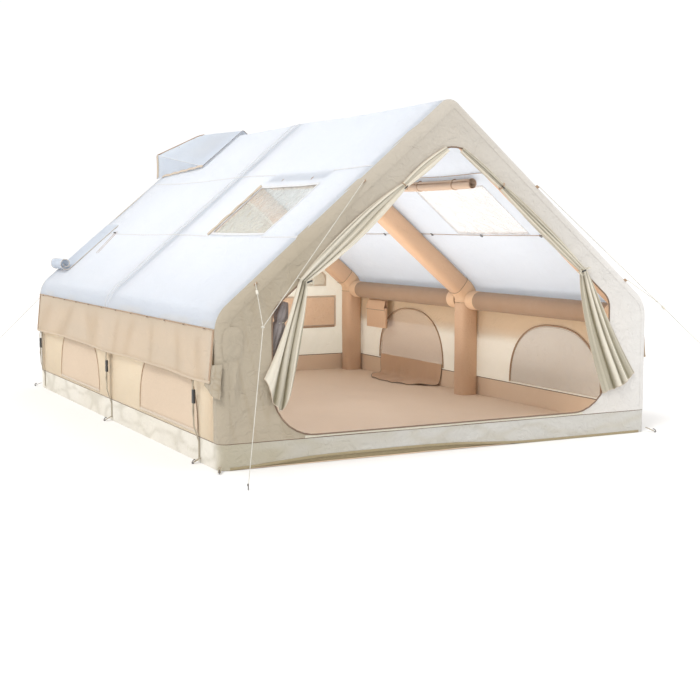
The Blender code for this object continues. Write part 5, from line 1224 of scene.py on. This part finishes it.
def makeHood():
    # The hood's cloth with its fold lines, feet, bindings and hems.
    fold = hood["fold"]
    u, v = np.meshgrid(marks(-1, 1, 0.022, (-fold, 0, fold)), np.linspace(0, 1, 46), indexing="ij")
    grid = hoodPoint(u, v)
    soft = unit(v * 5) * unit((1 - np.abs(u)) * 8)
    grid[..., 2] -= 0.0025 * soft * (1 + ripple(u, v, 0.4, 301)) * (np.abs(u) < fold)
    made = cloth("ventHood", grid, stack(u * 0.6, v * 0.93), "roof", hood["thick"])
    declareSheet(made)
    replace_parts(made, "vent_hood")
    for side, word in sides:
        line = hoodPoint(np.full(40, side * fold), np.linspace(0.02, 1, 40))
        outlineTube("hoodFold" + word, line, hood["line"], "whiteHem", up=(0, 0, 1))
        foot = hoodPoint(np.full(40, side * 1.0), np.linspace(0, 0.86, 40))
        foot[:, 2] += 0.004 + 0.006 * np.abs(np.sin(np.linspace(0, 5 * pi, 40)))
        foot[:, 0] += side * 0.004
        sweep("hoodFoot" + word, foot, flatSection(*hood["feet"]), (side * 0.9, 0, 0.4), "hem")
    rear = hoodPoint(np.linspace(-1, 1, 120), np.full(120, 0.995))
    outlineTube("hoodRearHem", rear, hood["rearHem"], "zip")
    for side, word in sides:
        bind = hoodPoint(side * np.linspace(fold, 0.985, 16), np.full(16, 0.978))
        bind[:, 0] += side * 0.0022
        sweep("hoodBinding" + word, bind, flatSection(*hood["binding"]), (side, 0, 0), "hem")
    front = hoodPoint(np.linspace(-0.99, 0.99, 80), np.full(80, 0.004))
    front[:, 2] += 0.003
    sweep("hoodFrontHem", front, flatSection(*hood["frontHem"]), (0, 0.3, 1), "piping")


makeHood()
half = marks(0, slopeRunAt(0.290), 0.02)
ventRuns = np.concatenate([-half[::-1], half[1:]])
run, y = np.meshgrid(ventRuns, np.linspace(1.37, 1.85, 30), indexing="ij")
x, z = bodySection(np.abs(run), sagged(np.abs(run), y))
net = cloth("ventNet", stack(np.sign(run) * x, y, z), stack(run, y), "net", 0.0008)
declareSheet(net)
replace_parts(net, "vent_mesh")

# Flap by the rear edge of the left slope: sewn along its top, curled at its lower end
flap = {"top": 0.915, "leave": 1.330, "front": 1.702, "back": 2.028, "radius": 0.050, "turns": 1.35,
        "thick": 0.0018, "hem": 0.0022}


def makeRearFlap():
    # Flat from its seam to where it leaves the roof, then a closing spiral.
    start, leave = slopeRunAt(flap["top"]), slopeRunAt(flap["leave"])
    straight = np.linspace(start, leave, 26)
    x, z = bodySection(straight, 2 * skin + 0.0006)
    normal = np.array([sin(slopeAngle), cos(slopeAngle)])
    along = np.array([cos(slopeAngle), -sin(slopeAngle)])
    centre = np.array([x[-1], z[-1]]) + normal * flap["radius"]
    turn = np.linspace(0, 2 * pi * flap["turns"], 70)[1:]
    r = flap["radius"] * (1 - 0.62 * turn / turn[-1])
    curl = centre + (-normal * (r * np.cos(turn))[:, None]) + along * (r * np.sin(turn))[:, None]
    line = np.concatenate([stack(x, z), curl])
    ys = np.linspace(flap["front"], flap["back"], 30)
    lift = 0.0025 * ripple(np.arange(len(line))[:, None] * 0.02, ys[None], 0.25, 401)
    fade = unit(np.arange(len(line)) / 10)[:, None]
    px = line[:, :1] + normal[0] * np.abs(lift) * fade
    pz = line[:, 1:] + normal[1] * np.abs(lift) * fade
    grid = stack(-px, ys[None], pz)
    steps = lengthsAlong(line)
    made = cloth("rearFlap", grid, stack(steps[:, None], ys[None]), "roof", flap["thick"],
                 body="rear_flap")
    declareSheet(made)
    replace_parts(made, "rear_flap")
    for end, yy in (("Front", ys[0]), ("Back", ys[-1])):
        outlineTube("rearFlapHem" + end, stack(-line[:, 0], yy, line[:, 1]), flap["hem"], "hem",
                    body="rear_flap")


makeRearFlap()
print("skylights, hood and flap made")

# Curtains: gathered at the apex and twice along the slope, then fanned in a few deep folds
curtain = {
    -1: {"tie": 0.989, "foot": (1.155, 0.30), "belly": (1.06, 0.70), "half": 0.082, "folds": 3.0, "tip": 0.45,
         "cut": (0.12, 0.17)},
    1: {"tie": 0.957, "foot": (1.262, 0.31), "belly": (1.09, 0.66), "half": 0.140, "folds": 3.8, "tip": 0.6,
        "cut": (0.02, 0.02)},
}
bundle = {"pinch": 0.31, "thin": 0.017, "wide": {-1: 0.052, 1: 0.036}, "tie": 0.022, "deep": 0.030,
          "footDeep": 0.048, "points": 69, "thick": 0.0015, "hem": 0.0024}
tie = {"tape": (0.016, 0.0018), "across": 0.041, "deep": 0.0195, "tilt": 20, "bow": 0.0022, "toggle": 0.0052,
       "pinchTape": (0.012, 0.0016), "pinchToggle": 0.0042}


def curtainSpine(side):
    # Down the slope to the tie, then the curve (1 - t)^2 tie + 2t(1 - t) belly + t^2 foot.
    own = curtain[side]
    up = np.linspace(0, 1, bundle["points"] + 1)[:-1]
    x = 0.05 + (own["tie"] - 0.05) * up
    z = doorPeak - slope * x - 0.035 * (1 - up) ** 4
    down = np.linspace(0, 1, bundle["points"] + 1)
    bend = np.array([(own["tie"], doorPeak - slope * own["tie"]), own["belly"], own["foot"]])
    fall = stack((1 - down) ** 2, 2 * down * (1 - down), down ** 2) @ bend
    swell = np.where(up < bundle["pinch"], np.sin(pi * up / bundle["pinch"]) * 0.35,
                     np.sin(pi * unit((up - bundle["pinch"]) / (1 - bundle["pinch"]))) ** 0.8)
    half = np.concatenate([bundle["thin"] + (bundle["wide"][side] - bundle["thin"]) * swell,
                           bundle["tie"] + (own["half"] - bundle["tie"]) * down ** 0.7])
    deep = bundle["deep"] + (bundle["footDeep"] - bundle["deep"]) * np.concatenate([up * 0, down])
    return np.concatenate([stack(x, z), fall]), half, deep


def makeCurtain(side, word):
    # Across: round-topped folds with sharp valleys, |sin|, that meet at the tie; their places drift along it.
    spine, half, deep = curtainSpine(side)
    ahead = np.gradient(spine, axis=0)
    kernel = np.ones(15) / 15
    ahead = np.stack([np.convolve(np.pad(ahead[:, k], 7, mode="edge"), kernel, "valid") for k in (0, 1)], -1)
    ahead = ahead / np.linalg.norm(ahead, axis=1, keepdims=True)
    across = stack(-ahead[:, 1], ahead[:, 0])
    steps = lengthsAlong(spine)
    u, s = np.meshgrid(np.linspace(0, 1, 220), steps, indexing="ij")
    own = curtain[side]
    drift = 0.30 * ripple(u * 0.5, s * 0.7, 0.9, 500 + side) + 0.10 * np.sin(s * 3.1 + side)
    main = np.abs(np.sin(pi * (own["folds"] * u ** 1.15 + drift)))
    small = np.abs(np.sin(pi * (own["folds"] * 2.3 * u + 2 * drift + 0.3)))
    fold = 0.78 * main + 0.22 * small
    uneven = 0.70 + 0.30 * np.sin(2 * pi * u * 1.3 + s * 1.1 + side)
    envelope = np.sin(pi * unit(u)) ** 0.35
    place = (u - 0.5) * 2 + 0.10 * np.sin(2 * pi * own["folds"] * u) * (1 - np.abs(2 * u - 1))
    x = spine[None, :, 0] + across[None, :, 0] * half[None] * place
    z = spine[None, :, 1] + across[None, :, 1] * half[None] * place
    y = -halfLength - 0.004 - deep[None] * (0.12 + 0.88 * fold * uneven) * (0.20 + 0.80 * envelope)
    hem = unit((s - steps[-1] + 0.6) / 0.6) ** 1.5
    outer, inner = own["cut"]
    z = z + hem * (outer * unit((own["tip"] - u) / own["tip"]) ** 1.2
                   + inner * unit((u - own["tip"]) / (1 - own["tip"])) ** 1.2 + 0.020 * fold)
    grid = stack(side * x, y, z)
    # Painted shade down in the fold valleys, weaker on the bundle along the slope
    deeper = np.where(s < steps[bundle["points"]], 0.45, 0.65 + 0.35 * envelope)
    dark = unit(1.25 - 1.5 * fold * uneven) ** 1.3 * deeper
    made = cloth("curtain" + word, grid, stack(u * 0.8, s), "curtain", side * bundle["thick"],
                 shade=dark)
    declareSheet(made)
    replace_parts(made, "curtain_" + word.lower())
    for part, line in (("Hem", grid[:, -1]), ("Edge", grid[0]), ("Lip", grid[-1])):
        outlineTube(f"curtain{part}{word}", line + np.array([0, -0.0005, 0.001]), bundle["hem"], "hem",
                    up=(0, 0, 1) if part == "Hem" else (0, 1, 0), sides=5)


def makeTie(side, word):
    # A band round the bundle with two small bows and a toggle.
    x = curtain[side]["tie"]
    middle = np.array([side * x, -halfLength - 0.021, doorPeak - slope * x])
    tilt = radians(tie["tilt"]) * side
    turn = fullTurn(40)
    flat = stack(tie["across"] * signedPower(np.cos(turn), 0.7), tie["deep"] * signedPower(np.sin(turn), 0.7))
    loop = middle + flat @ np.array([(cos(tilt), 0, sin(tilt)), (0, 1, 0)])
    made = sweep("curtainTie" + word, loop, flatSection(*tie["tape"]), (-sin(tilt), 0, cos(tilt)), "webbing",
                 wrap=True)
    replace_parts(made, "curtain_tie_" + word.lower())
    for k, (dx, dz, size) in enumerate(((-0.028, -0.018, 0.020), (-0.036, 0.004, 0.016))):
        centre = middle + np.array([side * dx, -0.024, dz])
        bow = centre + size * stack(np.cos(turn) * 0.9, -0.1 * np.abs(np.sin(turn)), np.sin(turn) * 0.6)
        outlineTube(f"tieLoop{word}{k}", bow, tie["bow"], "webbing", True)
    toggle = middle + np.array([side * -0.02, -0.027, -0.004])
    bar = toggle + np.linspace(-0.5, 0.5, 9)[:, None] * np.array([0.034, 0, 0.012])
    sweep(f"tieToggle{word}", bar, roundSection(tie["toggle"], 10), (0, 1, 0), "black",
          size=[0.55, 0.85, 1, 1, 0.72, 1, 1, 0.85, 0.55])


def makePinchTie(side, word):
    # A narrow loop round the bundle, square to the slope, with a small toggle.
    x = 0.05 + (curtain[side]["tie"] - 0.05) * bundle["pinch"]
    middle = np.array([side * x, -halfLength - 0.017, doorPeak - slope * x - 0.010])
    loop = middle + ellipse(fullTurn(32), 0.021 * slopeOut(side), (0, 0.016, 0))
    along = slopeDown(side)
    sweep("pinchTie" + word, loop, flatSection(*tie["pinchTape"]), along, "zip", wrap=True)
    bar = middle + np.array([0, -0.018, -0.006]) + np.linspace(-0.014, 0.014, 7)[:, None] * along
    sweep("pinchToggle" + word, bar, roundSection(tie["pinchToggle"], 8), (0, 1, 0), "black",
          size=[0.6, 0.9, 1, 0.8, 1, 0.9, 0.6])


for side, word in sides:
    makeCurtain(side, word)
    makeTie(side, word)
    makePinchTie(side, word)

# Insect door, gathered and tied just inside the left edge of the doorway
netDoor = {"top": (-1.085, -2.048, 0.93), "foot": (-1.165, -2.050, 0.60), "radius": 0.042, "folds": 7}
share = np.linspace(0, 1, 40)[:, None]
path = np.array(netDoor["top"]) * (1 - share) + np.array(netDoor["foot"]) * share
turn = fullTurn(70)
width = 0.55 + 0.55 * np.sin(pi * share[:, 0] ** 0.8) - 0.35 * np.exp(-((share[:, 0] - 0.35) / 0.05) ** 2)
pleats = 0.20 * np.abs(np.sin(turn[None] * netDoor["folds"] / 2 + share * 2))
pleats = pleats + 0.06 * ripple(share, turn[None] * 0.1, 0.3, 811)
sweep("gatheredNetDoor", path, roundSection(netDoor["radius"], 70), (0, 1, 0), "netRoll", size=width,
      swell=pleats - 0.2)
tieRing = path[14] + netDoor["radius"] * 0.62 * ellipse(turn, (1, 0, 0.2), (0, 1, 0))
outlineTube("netDoorTie", tieRing, 0.004, "webbing", True, (0, 0, 1))
print("curtains made")

# Storage pocket under the right rear purlin, with its flap
pocket = {"x": 1.421, "half": 0.0145, "y": 1.515, "wide": 0.178, "low": 0.437, "mouth": 0.619,
          "round": 0.011, "thick": 0.0022, "rim": 0.0026, "flap": 0.0015, "flapHem": 0.0022}


def makePocket():
    # A flat open box of cloth, its hanger, rim and flap.
    x, y, d, w, r = (pocket[key] for key in ("x", "y", "half", "wide", "round"))
    ring = roundedLine([(-d, -w, r), (d, -w, r), (d, w, r), (-d, w, r)], closed=True, step=0.010)
    levels = np.concatenate([[0.0, 0.0, 0.0], np.linspace(0, 1, 22)])
    shrink = np.concatenate([[0.02, 0.5, 0.9], np.full(22, 1.0)])
    z = pocket["low"] + (pocket["mouth"] - pocket["low"]) * levels
    wave = 0.024 * ripple(ring[:, 1:2], z[None], 0.1, 601)
    grid = stack(x + ring[:, :1] * shrink[None] * (1 + wave), y + ring[:, 1:] * shrink[None], z[None])
    made = cloth("storagePocket", grid, stack(lengthsAlong(ring)[:, None], z[None]), "draped",
                 pocket["thick"], wrap=(True, False))
    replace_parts(made, "storage_pocket")
    ys, zs = np.linspace(y - w + 0.004, y + w - 0.004, 30)[:, None], np.linspace(0.60, 0.690, 10)[None]
    cloth("pocketHanger", stack(x + d - 0.001, ys, zs), stack(ys, zs), "draped", 0.002)
    outlineTube("pocketRim", stack(x + ring[:, 0], y + ring[:, 1], pocket["mouth"]), pocket["rim"], "piping",
                True, (0, 0, 1))
    low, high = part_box("pocket_flap")
    ys, v = np.meshgrid(np.linspace(low.y, high.y, 34), np.linspace(0, 1, 14), indexing="ij")
    zs = high.z - 0.001 - (high.z - low.z - 0.002) * v
    xs = high.x - 0.001 - (high.x - low.x - 0.003) * unit(v / 0.7) ** 0.8
    xs = xs - 0.0008 * np.abs(ripple(ys, zs, 0.12, 611)) * v
    made = cloth("pocketFlap", stack(xs, ys, zs), stack(ys, zs), "draped", -pocket["flap"],
                 body="pocket_flap")
    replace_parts(made, "pocket_flap")
    edge = stack(xs[:, -1], ys[:, -1], zs[:, -1] + 0.001)
    outlineTube("pocketFlapHem", edge, pocket["flapHem"], "piping", up=(0, 0, 1), body="pocket_flap")


makePocket()


opened = {"top": (1.4935, 0.190), "heel": (1.4890, 0.012, 0.035), "end": (1.232, 0.0085), "ruffle": 0.016,
          "pitch": 0.21, "reach": (1.228, 1.494)}


def makeDrapedCover():
    # The opened cover: it falls from the sill, bends, and lies on the floor with a wavy edge.
    middle = window["places"][1, "Back"]
    line = roundedLine([(*opened["top"], 0), opened["heel"], (*opened["end"], 0)], step=0.006)
    steps = lengthsAlong(line)
    share = steps / steps[-1]
    half = (window["half"] - 0.002) * np.maximum(1 - (share * 0.98) ** 2.4, 0) ** (1 / 2.4)
    across, index = np.meshgrid(np.linspace(-1, 1, 90), np.arange(len(line)), indexing="ij")
    share = share[index]
    y = middle + across * half[index]
    ruffle = unit((share - 0.25) / 0.3) * unit(1.02 - share * 0.4)
    lift = opened["ruffle"] * ruffle * (0.4 + 0.6 * np.abs(across))
    lift = lift * (0.5 + 0.5 * np.sin(y * 2 * pi / opened["pitch"] + share * 3))
    bend = 0.012 * np.sin(y * 2 * pi / 0.3) * unit(share * 2) * (1 - share)
    grid = stack(np.clip(line[index, 0] - np.abs(bend), *opened["reach"]), y, line[index, 1] + lift)
    made = cloth("openedCover", grid, stack(y, steps[index]), "draped", -0.0018)
    declareSheet(made)
    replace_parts(made, "window_cover_right_back")
    rim = np.concatenate([grid[0], grid[1:-1, -1], grid[-1][::-1]])
    outlineTube("openedCoverZip", rim + np.array([0, 0, 0.0008]), 0.0026, "piping", up=(0.3, 0.2, 1))


makeDrapedCover()


def makeValveFlap():
    # Oval outline |u|^3 + |v|^3 = 1 over a raised rim and a dished middle.
    low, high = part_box("valve_flap")
    u, v = np.meshgrid(np.linspace(-1, 1, 48), np.linspace(-1, 1, 44), indexing="ij")
    bound = np.maximum(np.abs(u), np.abs(v)) / np.maximum((np.abs(u) ** 3 + np.abs(v) ** 3) ** (1 / 3), 1e-6)
    u, v = u * bound, v * bound
    x = (low.x + high.x) / 2 + u * (high.x - low.x) / 2
    z = (low.z + high.z) / 2 - 0.0005 + v * ((high.z - low.z) / 2 - 0.0006)
    reach = unit((np.abs(u) ** 3 + np.abs(v) ** 3) ** (1 / 3))
    bulge = np.exp(-(reach / 0.80) ** 7) - 0.12 * np.exp(-(reach / 0.35) ** 2)
    near, far = high.y - 0.0035, low.y + 0.0012
    y = near - (near - far) * unit(bulge + 0.06 * ripple(x, z, 0.06, 701))
    made = cloth("valveFlap", stack(x, y, z), stack(x, z), "sleeve", 0.002,
                 body="valve_flap")
    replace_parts(made, "valve_flap")


makeValveFlap()


strap = {"foot": 1.5005, "out": 1.531, "low": 0.022, "plug": 0.349, "wide": 0.025, "thick": 0.0018,
         "upper": (0.418, 0.520), "socket": (0.3852, 0.4248), "shell": (0.0178, 0.0068)}


def makeStrap(side, word, row, y):
    # The strap up from the floor, its loose tail, the webbing above the socket, and the socket.
    foot, out, wide, thick = strap["foot"], strap["out"], strap["wide"], strap["thick"]
    line = roundedLine([(foot, strap["low"], 0), (foot, 0.12, 0.05), (out, 0.22, 0.05),
                        (out, strap["plug"], 0)], step=0.01)
    tail = roundedLine([(out + 0.003, 0.345, 0), (out + 0.005, 0.30, 0.02), (out - 0.001, 0.255, 0)],
                       step=0.01)
    sway = 0.004 * np.linspace(0, 1, len(tail)) ** 2
    z = np.linspace(*strap["upper"], 12)
    upper = out + 0.0035 - 0.008 * unit((z - 0.45) / 0.06)
    for part, path, width, depth in (
            ("strap", stack(side * line[:, 0], y, line[:, 1]), wide, thick),
            ("strapTail", stack(side * tail[:, 0], y + sway, tail[:, 1]), wide - 0.001, thick - 0.0003),
            ("strapTop", stack(side * upper, y, z), wide, thick)):
        sweep(part + word + row, path, flatSection(width, depth), (side, 0, 0.01), "strap")
    body = stack(side * out, y, np.linspace(*strap["socket"], 10))
    shell = squircle(1.0, 24, 5.0) * np.array(strap["shell"])
    sweep(f"socket{word}{row}", body, shell, (side, 0, 0), "black",
          size=[0.90, 0.97, 1, 1, 1, 1, 1, 1, 0.97, 0.90])


for side, word in sides:
    for row, y in roof["buckles"].items():
        makeStrap(side, word, row, y)

# Loose end of the left valance, turned a little way round the front corner
corner = {"path": [(-1.534, -1.96, 0), (-1.531, -2.110, 0.035), (-1.500, -2.113, 0)], "top": (0.58, 0.60),
          "foot": (0.47, 0.40)}
line = roundedLine(corner["path"], step=0.006)
share, drop = np.linspace(0, 1, len(line))[:, None], np.linspace(0, 1, 26)[None]
top = corner["top"][0] + (corner["top"][1] - corner["top"][0]) * share
z = top + (corner["foot"][0] + (corner["foot"][1] - corner["foot"][0]) * share - top) * drop
wave = 0.004 * ripple(share * 0.2, z, 0.12, 821) * drop
x = line[:, :1] * (1 - 0.010 * (1 - drop)) - wave
y = line[:, 1:] * (1 - 0.003 * (1 - drop)) - wave
# Painted shade in its creases
made = cloth("valanceCornerLeft", stack(x, y, z), stack(share * 0.2, z), "sleeve", 0.0018,
             shade=0.5 * creases(share * 0.2, z, 0.1, 823))
declareSheet(made)

# Loops of webbing at the floor's edge, each held by a bent wire pin: from (x, y) to (x, y)
pins = {"LeftFront": (-1.500, -2.100, -1.526, -2.157), "LeftSide": (-1.500, -1.790, -1.545, -1.800),
        "RightFront": (1.500, -2.100, 1.530, -2.150), "LeftRear": (-1.500, 2.100, -1.535, 2.140),
        "RightRear": (1.500, 2.100, 1.535, 2.140), "LeftMiddle": (-1.500, -0.006, -1.548, -0.010),
        "RightMiddle": (1.500, -0.006, 1.548, -0.010)}
for word, place in pins.items():
    start, end = np.array([*place[:2], 0.028]), np.array([*place[2:], 0.007])
    share = np.linspace(0, 1, 8)[:, None]
    sideways = np.cross(end - start, (0, 0, 1))
    sweep("cornerLoop" + word, start * (1 - share) + end * share, flatSection(0.018, 0.0020), (0, 0, 1),
          "strap")
    turn = np.linspace(-0.3 * pi, pi, 16)
    outward = (end - start) / np.linalg.norm(end - start)
    hook = end + ellipse(turn, (0, 0, 0.0108), 0.012 * outward) + np.array([0, 0, 0.0036])
    hook[:, 2] = np.maximum(hook[:, 2], 0.0035)
    outlineTube("cornerPin" + word, hook, 0.0032, "steel", up=sideways)

# A short double seam and toggle by the rear flap, and the twisted roll along the left film's rear edge
for k, shift in enumerate((0.0, 0.045)):
    path = skinPoint(np.linspace(slopeRunAt(0.97), slopeRunAt(1.17), 12), np.linspace(1.60, 1.50, 12) - shift,
                     skin + 0.0006, -1)
    sweep(f"flapSeam{k}", path, flatSection(0.007, 0.0010), slopeOut(-1), "zip")
path = skinPoint(slopeRunAt(0.985) + np.zeros(6), np.linspace(1.55, 1.60, 6), skin + 0.008, -1)
sweep("flapToggle", path, roundSection(0.0060, 8), (0, 0, 1), "black", size=[0.6, 1, 0.8, 0.8, 1, 0.6])
runs = np.linspace(slopeRunAt(0.595), slopeRunAt(0.985), 60)
path = skinPoint(runs, -0.588 + 0.004 * np.sin(runs * 40), skin + 0.0085, -1)
turn = fullTurn(14)
twist = 0.22 * np.sin(turn[None] * 2 + runs[:, None] * 55)
sweep("filmEdgeRoll", path, roundSection(0.0080, 14), (0, 0, 1), "hem", swell=twist)
print("pocket, cover, valve flap and straps made")

# Guy lines: straight and taut between webbing tabs, knot, join and pegs
cordRadius = 0.00225
lines = {
    "guyLeftShort": ("guy_left_short", (-1.27745, -2.09605, 1.04251), (-1.29132, -2.22993, 0.8131)),
    "guyLeftLong": ("guy_left_long", (-0.59745, -2.09605, 1.61598), (-1.28699, -2.23267, 0.81229)),
    "guyLeftMain": ("guy_left_main", (-1.29371, -2.23665, 0.80048), (-1.54111, -2.61262, 0.02109)),
    "guyRightMain": ("guy_right_main", (0.61745, -2.09605, 1.59911), (2.28439, -2.59861, 0.01638)),
    "guyRightShort": ("guy_right_short", (1.31745, -2.09605, 1.00878), (1.37638, -2.32064, 0.88001)),
    "guyRear": ("guy_rear", (-1.49605, 2.09605, 0.75), (-2.24514, 2.14965, 0.01676)),
}
for name, (node, start, end) in lines.items():
    curve = bpy.data.curves.new(name, "CURVE")
    curve.dimensions = "3D"
    curve.bevel_depth = cordRadius
    curve.bevel_resolution = 3
    curve.use_fill_caps = True
    spline = curve.splines.new("POLY")
    route = stack(*np.linspace(start, end, 9).T, 1.0)
    spline.points.add(len(route) - 1)
    spline.points.foreach_set("co", route.ravel())
    curve.materials.append(finish["cord"])
    line = addObject(name, curve)
    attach(line, "tent")
    length = float(np.linalg.norm(np.subtract(end, start)))
    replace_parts(line, node)


def knotAt(name, place, radius, node=None):
    # Two crossed turns of cord pulled into a small knot.
    turn = fullTurn(48)
    loop = stack(np.sin(turn) + 2 * np.sin(2 * turn), np.cos(turn) - 2 * np.cos(2 * turn), -np.sin(3 * turn))
    made = outlineTube(name, place + loop * radius / 3.2, radius * 0.34, "cord", True, (0.3, 0.2, 1), 8)
    if node:
        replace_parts(made, node)


knotAt("guyKnotLeft", (-1.2917, -2.2336, 0.8068), 0.0085, "guy_knot_left")
knotAt("guyKnotRight", (1.3776, -2.3252, 0.8774), 0.0075)

tabs = {"LeftLow": (-1, 1.28), "LeftHigh": (-1, 0.60), "RightHigh": (1, 0.62), "RightLow": (1, 1.32),
        "Rear": (-1, None)}
for word, (side, x) in tabs.items():
    if x is None:  # on the wall, at the back
        facing, normal, run = 1, np.array([side, 0, 0]), np.array([0, 0, 1])
        centre = (side * halfWidth, 0, 0.75)
    else:
        facing, normal, run = -1, slopeOut(side), slopeDown(side)
        centre = (side * x, 0, shape["ridgePeak"] - slope * x)
    centre = np.array(centre) - gable["round"] * normal
    centre[1] = facing * (halfLength - gable["round"])
    out = normal + np.array([0, facing, 0])
    out = out / np.linalg.norm(out)
    path = centre + out * np.linspace(gable["round"] - 0.004, gable["round"] + 0.0175, 8)[:, None]
    sweep("guyTab" + word, path, flatSection(0.024, 0.003, -0.0015), np.cross(out, run), "zip")
print("guy lines made")

# CAD pieces that stay as they are: buckle plugs, valve, prop, runners and pegs
plugs = [f"buckle_plug_{s}_{r}" for s in ("left", "right") for r in ("front", "middle", "back")]
kept = {
    "black": ("black_plastic", plugs + ["valve_plunger"]),
    "grey": ("grey_plastic", ["valve_body", "valve_cap", "vent_prop"]),
    "cream": ("grey_plastic", ["runner_left", "runner_right"]),
    "steel": ("peg_steel", ["peg_left", "peg_right", "peg_rear"]),
}
for kind, (slot, names) in kept.items():
    for name in names:
        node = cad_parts[name]
        node.data.materials.clear()
        node.data.materials.append(finish[kind])

# Ground, studio light and camera
ground = bpy.data.meshes.new("ground")
ground.from_pydata([(-40, -40, 0), (40, -40, 0), (40, 40, 0), (-40, 40, 0)], [], [(0, 1, 2, 3)])
groundPiece = addObject("ground", ground)
groundPiece.location.z = -0.0005
made, tree, shader = newMaterial("groundPale")
shader.inputs["Base Color"].default_value = (0.86, 0.86, 0.86, 1)
shader.inputs["Roughness"].default_value = 0.9
ground.materials.append(made)

world = bpy.data.worlds.new("softSky")
scene.world = world
world.use_nodes = True
sky = world.node_tree.nodes["Background"]
sky.inputs["Color"].default_value = (1.0, 1.0, 1.0, 1)
sky.inputs["Strength"].default_value = 1.03


def addLamp(name, place, target, size, power, colour=(1, 1, 1)):
    # A square lamp turned to its target, unseen by the camera.
    data = bpy.data.lights.new(name, "AREA")
    data.size, data.energy, data.color = size, power, colour
    lamp = addObject(name, data)
    lamp.location = place
    lamp.visible_camera = False
    aim = np.subtract(target, place)
    tilt = pi - np.arctan2(np.hypot(aim[0], aim[1]), aim[2])
    lamp.rotation_euler = (tilt, 0, np.arctan2(aim[0], -aim[1]) + pi)


sun = bpy.data.lights.new("highSun", "SUN")
sun.energy, sun.angle, sun.color = 1.3, radians(18), (1.0, 0.97, 0.92)
sunPiece = addObject("highSun", sun)
sunPiece.rotation_euler = (radians(20), radians(-38), 0)
addLamp("rightSoftbox", (6.5, -6.0, 3.2), (1.2, -2.0, 1.0), 3.5, 110)
for word, y in (("Front", -1.0), ("Back", 1.0)):
    addLamp("cabinGlow" + word, (0, y, 0.25), (0, y, 2.0), 1.6, 23, (1, 0.98, 0.95))

camera = bpy.data.cameras.new("photoCamera")
cameraPiece = addObject("photoCamera", camera)
camera.lens, camera.sensor_width = 64.8, 36
camera.clip_start, camera.clip_end = 0.1, 200
cameraPiece.location = (-3.975, -8.559, 1.363)
cameraPiece.rotation_euler = (radians(90 - 5.681), radians(0.05), radians(-26.95))
scene.camera = cameraPiece
scene.view_settings.view_transform = "Standard"
scene.view_settings.look = "None"
scene.view_settings.exposure = 0.0
print("stage set")
